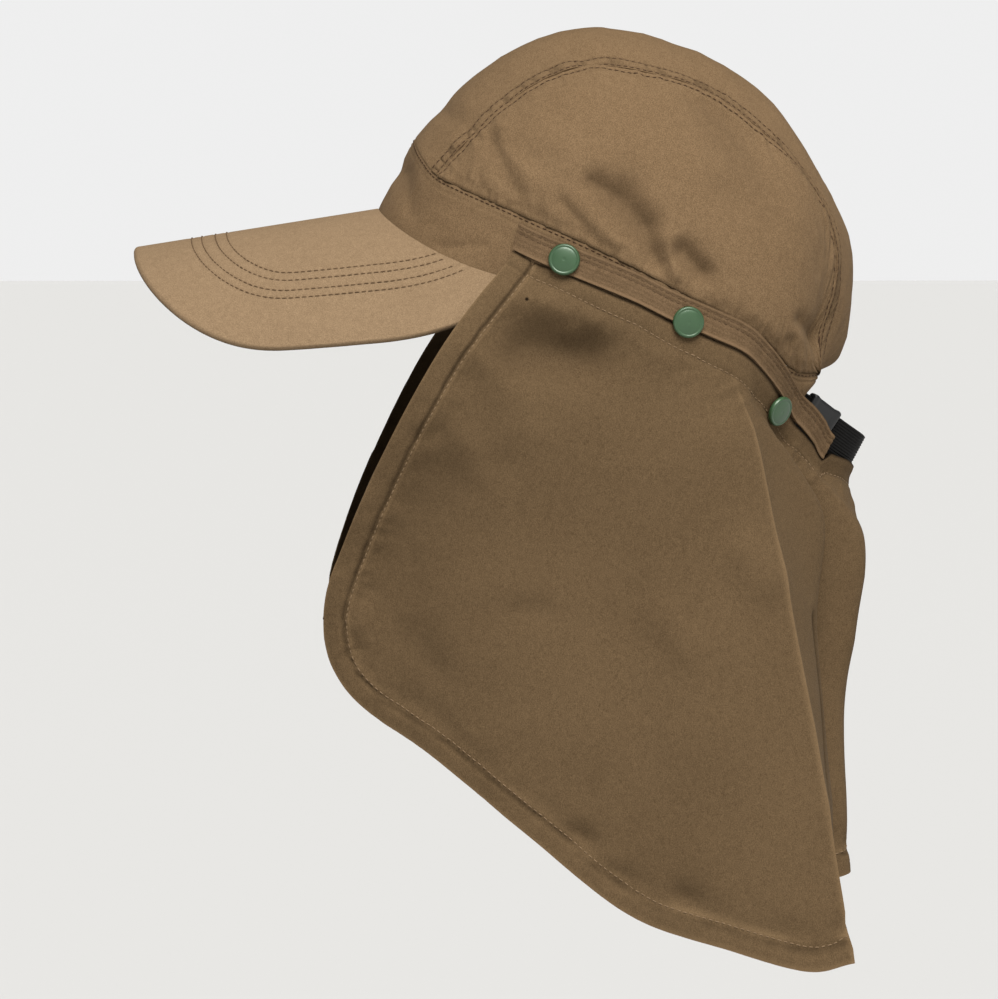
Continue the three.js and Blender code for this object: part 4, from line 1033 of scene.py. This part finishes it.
brown_thread = thread_finish("brown_thread", (0.07, 0.038, 0.021), (0.034, 0.018, 0.01))
khaki_thread = thread_finish("khaki_thread", (0.15, 0.094, 0.052), (0.07, 0.042, 0.022))
pale_thread = thread_finish("pale_thread", (0.25, 0.17, 0.098), (0.12, 0.078, 0.043))
band_closed = np.concatenate([band_outer, band_outer[:1]])
band_down = run(band_closed, 1)[:, -1:] / MM - run(band_closed, 1) / MM
band_along = run(band_closed, 0) / MM
strip_across, strip_along = run(strip_outer, 1) / MM, run(strip_outer, 0) / MM
crown_rows = [level_line(band_closed, band_down, BAND_STITCH_ROW, band_along)]
for row in SEAM_STITCH_ROWS:
    crown_rows.append(level_line(strip_outer, strip_across, row, strip_along))
    crown_rows.append(level_line(strip_outer, strip_across[:, -1:] - strip_across, row, strip_along))
for outer in side_outers.values():
    height = run(outer, 1) / MM
    crown_rows.append(level_line(outer, height[:, -1:] - height, SIDE_STITCH_ROW, run(outer, 0) / MM))
tape_rows = [
    level_line(outer, from_top, row, along)
    for outer, _, from_top, along in tapes.values()
    for row in TAPE_STITCH_ROWS
]
flap_rows = [level_line(cape_outer, cape_inwards, HEM_WIDTH + 0.1, cape_along)]
columns = run(cape_outer, 0) / MM
flap_rows.append(level_line(cape_outer, cape_below, 0, columns, cape_inwards > HEM_WIDTH))
threads = {
    "crown_stitches": (crown_rows, "crown_cloth", brown_thread),
    "peak_stitches": ([peak_row(row * MM) for row in PEAK_ROWS], "peak_cloth", khaki_thread),
    "tape_stitches": (tape_rows, "crown_cloth", khaki_thread),
    "flap_stitches": (flap_rows, "flap_cloth", pale_thread),
}
for name, (rows, slot, thread) in threads.items():
    sewn = thread_rows(name, rows)
    sewn.data.materials.append(thread)
    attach(sewn, "root")

# Snap caps: three pressed-metal domes on each side, enamelled green, each with a rolled rim, a turned
# groove inside it and a small dimple. Their posts go through the flap's collar into the tape.
# station, rise over the hang line in millimetres and lean in degrees
SNAP_ROWS = [(6.8, 4.8, 3), (9.37, 2.1, 3), (13.1, -5, 0)]
SNAP_SIDES = 72
SNAP_SINK = 1.3 * MM
# radius and height in millimetres
SNAP_PROFILE = np.array([
    (0, 0), (2.5, 0), (5.3, 0), (5.8, 0.1), (6.1, 0.42), (6.2, 0.9), (6.16, 1.35), (5.98, 1.75),
    (5.72, 2.02), (5.42, 2.12), (5.15, 2.06), (4.95, 1.96), (4.75, 1.97), (4.4, 2.09), (3.8, 2.2),
    (3, 2.3), (2, 2.38), (1.2, 2.42), (0.75, 2.42), (0.5, 2.38), (0.3, 2.36), (0.15, 2.36), (0, 2.36),
])


def snap_cap(name, node, facing):
    """The profile, rounded by averaging each corner with its two neighbours, turned round the axis
    that faces out of the cloth. Its middle is the solid's own."""
    rows = np.repeat(SNAP_PROFILE, 2, axis=0)[1:-1]
    rows = np.vstack([rows[:1], (rows[:-2] + 2 * rows[1:-1] + rows[2:]) / 4, rows[-1:]])[1:-1] * MM
    low, high = (np.array(corner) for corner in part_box(node))
    middle = (low + high) / 2 - facing * SNAP_SINK
    first = np.cross(facing, [0, 0, 1])
    first /= np.linalg.norm(first)
    second = np.cross(facing, first)
    turn = np.linspace(0, 2 * math.pi, SNAP_SIDES, endpoint=False)[None, :, None]
    radius, height = rows[:, :1, None], rows[:, 1:, None]
    points = middle + height * facing + radius * (np.cos(turn) * first + np.sin(turn) * second)
    count = len(rows)
    index = np.arange(count * SNAP_SIDES).reshape(count, SNAP_SIDES)
    ahead = np.roll(index, -1, axis=1)
    faces = np.stack([index[:-1], ahead[:-1], ahead[1:], index[1:]], axis=-1).reshape(-1, 4).tolist()
    ends = [middle + facing * SNAP_PROFILE[k, 1] * MM for k in (0, -1)]
    base, top = index.size, index.size + 1
    faces += [(base, int(b), int(a)) for a, b in zip(index[0], ahead[0])]
    faces += [(top, int(a), int(b)) for a, b in zip(index[-1], ahead[-1])]
    points = np.vstack([points.reshape(-1, 3), ends])
    corners = points[np.array([face[:3] for face in faces])]
    if np.sum(corners[:, 0] * np.cross(corners[:, 1], corners[:, 2])) < 0:
        faces = [face[::-1] for face in faces]
    mesh = bpy.data.meshes.new(name)
    mesh.from_pydata(points.tolist(), [], faces)
    return finished(name, mesh)


def enamel(name, colour, deep):
    """Baked enamel: a clear glossy coat on a metallic green ground, deeper in uneven patches, with
    fine scratches in its roughness and an orange-peel bump."""
    material, wire, shader = new_material(name)
    place = wire.node("ShaderNodeTexCoord", output=3)
    patches = wire.noise(place, 180, 3)
    scratches = wire.noise(place, 1400, 4, 0.7)
    patches.between(deep, colour).into(shader.inputs["Base Color"])
    (0.34 + scratches * 0.2).into(shader.inputs["Roughness"])
    shader.inputs["Metallic"].default_value = 0.2
    shader.inputs["Coat Weight"].default_value = 0.5
    shader.inputs["Coat Roughness"].default_value = 0.26
    emboss(wire, shader, 0.12, 0.05, scratches)
    return material


snap_enamel = enamel("snap_enamel", (0.041, 0.098, 0.038), (0.025, 0.066, 0.026))
for word, side in SIDES:
    for number, (station, rise, lean) in enumerate(SNAP_ROWS, 1):
        _, facing = hang_point(np.array([float(station)]), np.array([rise * MM]))
        lean = math.radians(lean)
        facing = worn(facing[0] * [side, 1, 1] * math.cos(lean) + [0, 0, math.sin(lean)])
        cap = snap_cap(f"snap_cap_{word}_{number}", f"snap_{word}_{number}", facing)
        cap.data.materials.append(snap_enamel)
        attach(cap, "root")
        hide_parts(f"snap_{word}_{number}")

# Rear strap: black ribbed polypropylene webbing across the opening, bowed outwards. Its ends go in
# under the arch, where they are sewn to the band.
STRAP_WIDTH = 13.8 * MM
STRAP_THICKNESS = 1.5 * MM
STRAP_RIBS = 12
STRAP_ROWS = np.array([
    (0, 1.008, 0.077),
    (0.15, 0.985, 0.08),
    (0.276, 0.909, 0.086),
    (0.325, 0.845, 0.093),
    (0.371, 0.784, 0.1),
    (0.416, 0.723, 0.109),
    (0.462, 0.662, 0.115),
])


def webbing_grid():
    """The strap's rows at places along it and levels up its width, raised in ribs by the size of
    cos(ribs pi level), with its edges turned in."""
    rows = both_sides(STRAP_ROWS * [BAND_HALF_WIDTH, BAND_HALF_LENGTH, CROWN_HEIGHT], [0])
    place, up = np.meshgrid(np.linspace(0, len(rows) - 1, 420), np.linspace(0, 1, 121), indexing="ij")
    points = worn(smooth(rows, place) - (1 - up)[..., None] * [0, 0, STRAP_WIDTH])
    along = run(points, 0) / MM
    ribs = 0.3 * np.abs(np.sin(STRAP_RIBS * math.pi * up)) ** 0.7 - 0.3
    picks = 0.05 * np.sin(along * 2 * math.pi / 0.9) * (ribs > -0.22)
    edge = 0.35 * hump(np.minimum(up, 1 - up) * STRAP_WIDTH / MM, 0.35)
    # minus the ribs is painted shade in the grooves between them
    return points + outward(points) * ((ribs + picks - edge) * MM)[..., None], -ribs


def webbing_finish():
    """Black plastic yarn: a fine bump, uneven grey dust, and painted shade, near black, in the grooves."""
    material, wire, shader = new_material("webbing")
    place = wire.node("ShaderNodeTexCoord", output=3)
    groove = wire.node("ShaderNodeAttribute", {"attribute_name": "painted_shade"}, output=2)
    dust = wire.noise(place, 420, 3)
    tone = (dust * 0.6).between((0.005, 0.0045, 0.0045), (0.013, 0.012, 0.011))
    # painted shade in the grooves between the ribs
    tone = tone.mixed((groove * 1.4).clipped(), (0.0015, 0.0015, 0.0015, 1))
    tone.into(shader.inputs["Base Color"])
    (0.55 + dust * 0.2).into(shader.inputs["Roughness"])
    shader.inputs["Specular IOR Level"].default_value = 0.12
    emboss(wire, shader, 0.4, 0.08, wire.noise(place, 2600))
    return material


strap_outer, strap_groove_shade = webbing_grid()
strap_inner = behind(strap_outer, STRAP_THICKNESS)
webbing = cloth_piece("rear_webbing", strap_outer, strap_inner, False, strap_groove_shade)
webbing.data.materials.append(webbing_finish())
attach(webbing, "root")
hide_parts("rear_strap")

# Slider: a moulded black sleeve that the webbing runs through, with round edges, a raised bar at
# each end and ribs between them. It sets how long the strap is.
SLIDER_LENGTH = 16 * MM
SLIDER_WALL = 1.3 * MM
SLIDER_ROUNDING = 0.7 * MM


def slider_grids():
    """Rounded rectangles along the strap's slope: corner centres plus radius times a turning unit
    vector, drawn in by rounding (1 - cos) at both ends."""
    rows = STRAP_ROWS * [BAND_HALF_WIDTH, BAND_HALF_LENGTH, CROWN_HEIGHT]
    middle, ahead, back = (smooth(rows, np.array(place)) for place in (4.0, 3.5, 4.5))
    along = worn(ahead - back)
    along /= np.linalg.norm(along)
    upwards = worn(np.array([0.0, 0, 1]))
    upwards -= along * (upwards @ along)
    upwards /= np.linalg.norm(upwards)
    outwards = np.cross(upwards, along)
    centre = worn(middle - [0, 0, STRAP_WIDTH / 2])
    outwards *= np.sign(outwards @ centre)
    centre = centre - outwards * STRAP_THICKNESS / 2
    turn = (np.arange(72) + 0.5) / 72 * 2 * math.pi
    bend = np.linspace(math.pi / 2, 0, 6)
    reach = SLIDER_LENGTH / 2 - SLIDER_ROUNDING
    place = np.concatenate([-reach - SLIDER_ROUNDING * np.sin(bend), np.linspace(-reach, reach, 24)[1:-1]])
    place = np.concatenate([place, reach + SLIDER_ROUNDING * np.sin(bend[::-1])])
    beyond, drop = SLIDER_ROUNDING * np.sin(bend[::-1]), SLIDER_ROUNDING * (1 - np.cos(bend[::-1]))
    drawn_in = np.interp(np.abs(place), reach + beyond, drop)
    bars = hump((np.abs(place) - reach + 0.9 * MM) / MM, 1.1)
    ribs = np.abs(np.cos(np.linspace(0, 72, 72, endpoint=False) * math.pi / 3))[:, None]
    relief = (0.35 * bars - (0.3 - 0.25 * ribs) * (1 - bars)) * MM

    def sleeve(half_height, half_depth, radius, grown):
        """One face of the sleeve, grown outwards at each place along it."""
        x, y = (
            np.sign(wave)[:, None] * (half - radius) + wave[:, None] * (radius + grown)
            for wave, half in ((np.cos(turn), half_height), (np.sin(turn), half_depth))
        )
        gone = (place[None, :, None] + 0 * x[..., None]) * along
        return centre + x[..., None] * upwards + y[..., None] * outwards + gone

    half_height, half_depth = STRAP_WIDTH / 2 + LAYER_GAP, STRAP_THICKNESS / 2 + LAYER_GAP
    outer = sleeve(half_height + SLIDER_WALL, half_depth + SLIDER_WALL, 1.2 * MM, relief - drawn_in)
    return outer, sleeve(half_height, half_depth, 0.3 * MM, 0 * place)


def moulded_black():
    """Moulded plastic: fine grain in the bump and rubbed, shinier patches."""
    material, wire, shader = new_material("slider_plastic")
    place = wire.node("ShaderNodeTexCoord", output=3)
    grain = wire.noise(place, 2200)
    rubbed_and_highlight = wire.noise(place, 160, 3)
    tone = rubbed_and_highlight.between((0.005, 0.005, 0.005), (0.012, 0.012, 0.0125))
    tone.into(shader.inputs["Base Color"])
    (0.3 + rubbed_and_highlight * 0.22).into(shader.inputs["Roughness"])
    emboss(wire, shader, 0.15, 0.05, grain)
    return material


slider = cloth_piece("strap_slider", *slider_grids(), closed=True)
slider.data.materials.append(moulded_black())
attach(slider, "root")
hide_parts("strap_buckle")

# Studio: the cap hangs over a plain pale floor in soft light, seen square from its wearer's left.
# azimuth and elevation in degrees
CAMERA_PLACE = (88, 3.8)
LAMP_PLACE = (99, 53)
CAMERA_DISTANCE = 1.6
CAMERA_TARGET = np.array([0, -0.0488, -0.0695])
PIXEL = 0.41 * MM
IMAGE_HEIGHT = 999
SENSOR = 36
FLOOR_REACH = 60
FLOOR_LEVEL = -0.6


def heading(azimuth, elevation):
    """Unit vector towards a place round the cap: sin a cos e, -cos a cos e, sin e."""
    azimuth, elevation = math.radians(azimuth), math.radians(elevation)
    level = math.cos(elevation)
    return np.array([math.sin(azimuth) * level, -math.cos(azimuth) * level, math.sin(elevation)])


def standing(back, place):
    """A frame that looks against a direction, with its own up as near the vertical as can be."""
    right = np.cross([0, 0, 1], back)
    right /= np.linalg.norm(right)
    upwards = np.cross(back, right)
    columns = np.vstack([right, upwards, back, place]).T
    return Matrix(np.vstack([columns, [0, 0, 0, 1]]))


back = heading(*CAMERA_PLACE)
lens = bpy.data.cameras.new("camera")
lens.sensor_width = SENSOR
lens.lens = SENSOR * CAMERA_DISTANCE / (PIXEL * IMAGE_HEIGHT)
camera = bpy.data.objects.new("camera", lens)
camera.matrix_world = standing(back, CAMERA_TARGET + back * CAMERA_DISTANCE)
bpy.context.collection.objects.link(camera)
bpy.context.scene.camera = camera

floor_mesh = bpy.data.meshes.new("floor")
corners = [(x * FLOOR_REACH, y * FLOOR_REACH, FLOOR_LEVEL) for x, y in ((-1, -1), (1, -1), (1, 1), (-1, 1))]
floor_mesh.from_pydata(corners, [], [(0, 1, 2, 3)])
floor = bpy.data.objects.new("floor", floor_mesh)
bpy.context.collection.objects.link(floor)
floor_paint, _, floor_shader = new_material("floor_paint")
floor_shader.inputs["Base Color"].default_value = (0.56, 0.56, 0.555, 1)
floor_shader.inputs["Roughness"].default_value = 0.9
floor_shader.inputs["Specular IOR Level"].default_value = 0.1
floor_mesh.materials.append(floor_paint)


def studio_world():
    """A dome of light: near white at the floor's edge, where the camera looks, and dim above it."""
    world = bpy.data.worlds.new("soft_white")
    world.use_nodes = True
    wire = Wire(world.node_tree)
    direction = wire.node("ShaderNodeTexCoord", output=0)
    split = wire.node("ShaderNodeSeparateXYZ", {}, {0: direction}, 2)
    stops = [(0.1, (0.86, 0.86, 0.86)), (0.22, (0.13, 0.134, 0.138))]
    tone = wire.node("ShaderNodeValToRGB", {"stops": stops}, {0: split})
    tone.into(world.node_tree.nodes["Background"].inputs["Color"])
    return world


bpy.context.scene.world = studio_world()
bpy.context.scene.view_settings.view_transform = "Standard"
sun = bpy.data.lights.new("key", "SUN")
sun.energy = 5.15
sun.angle = math.radians(40)
sun.color = (1, 0.985, 0.96)
key = bpy.data.objects.new("key", sun)
key.matrix_world = standing(heading(*LAMP_PLACE), [0, 0, 2])
bpy.context.collection.objects.link(key)
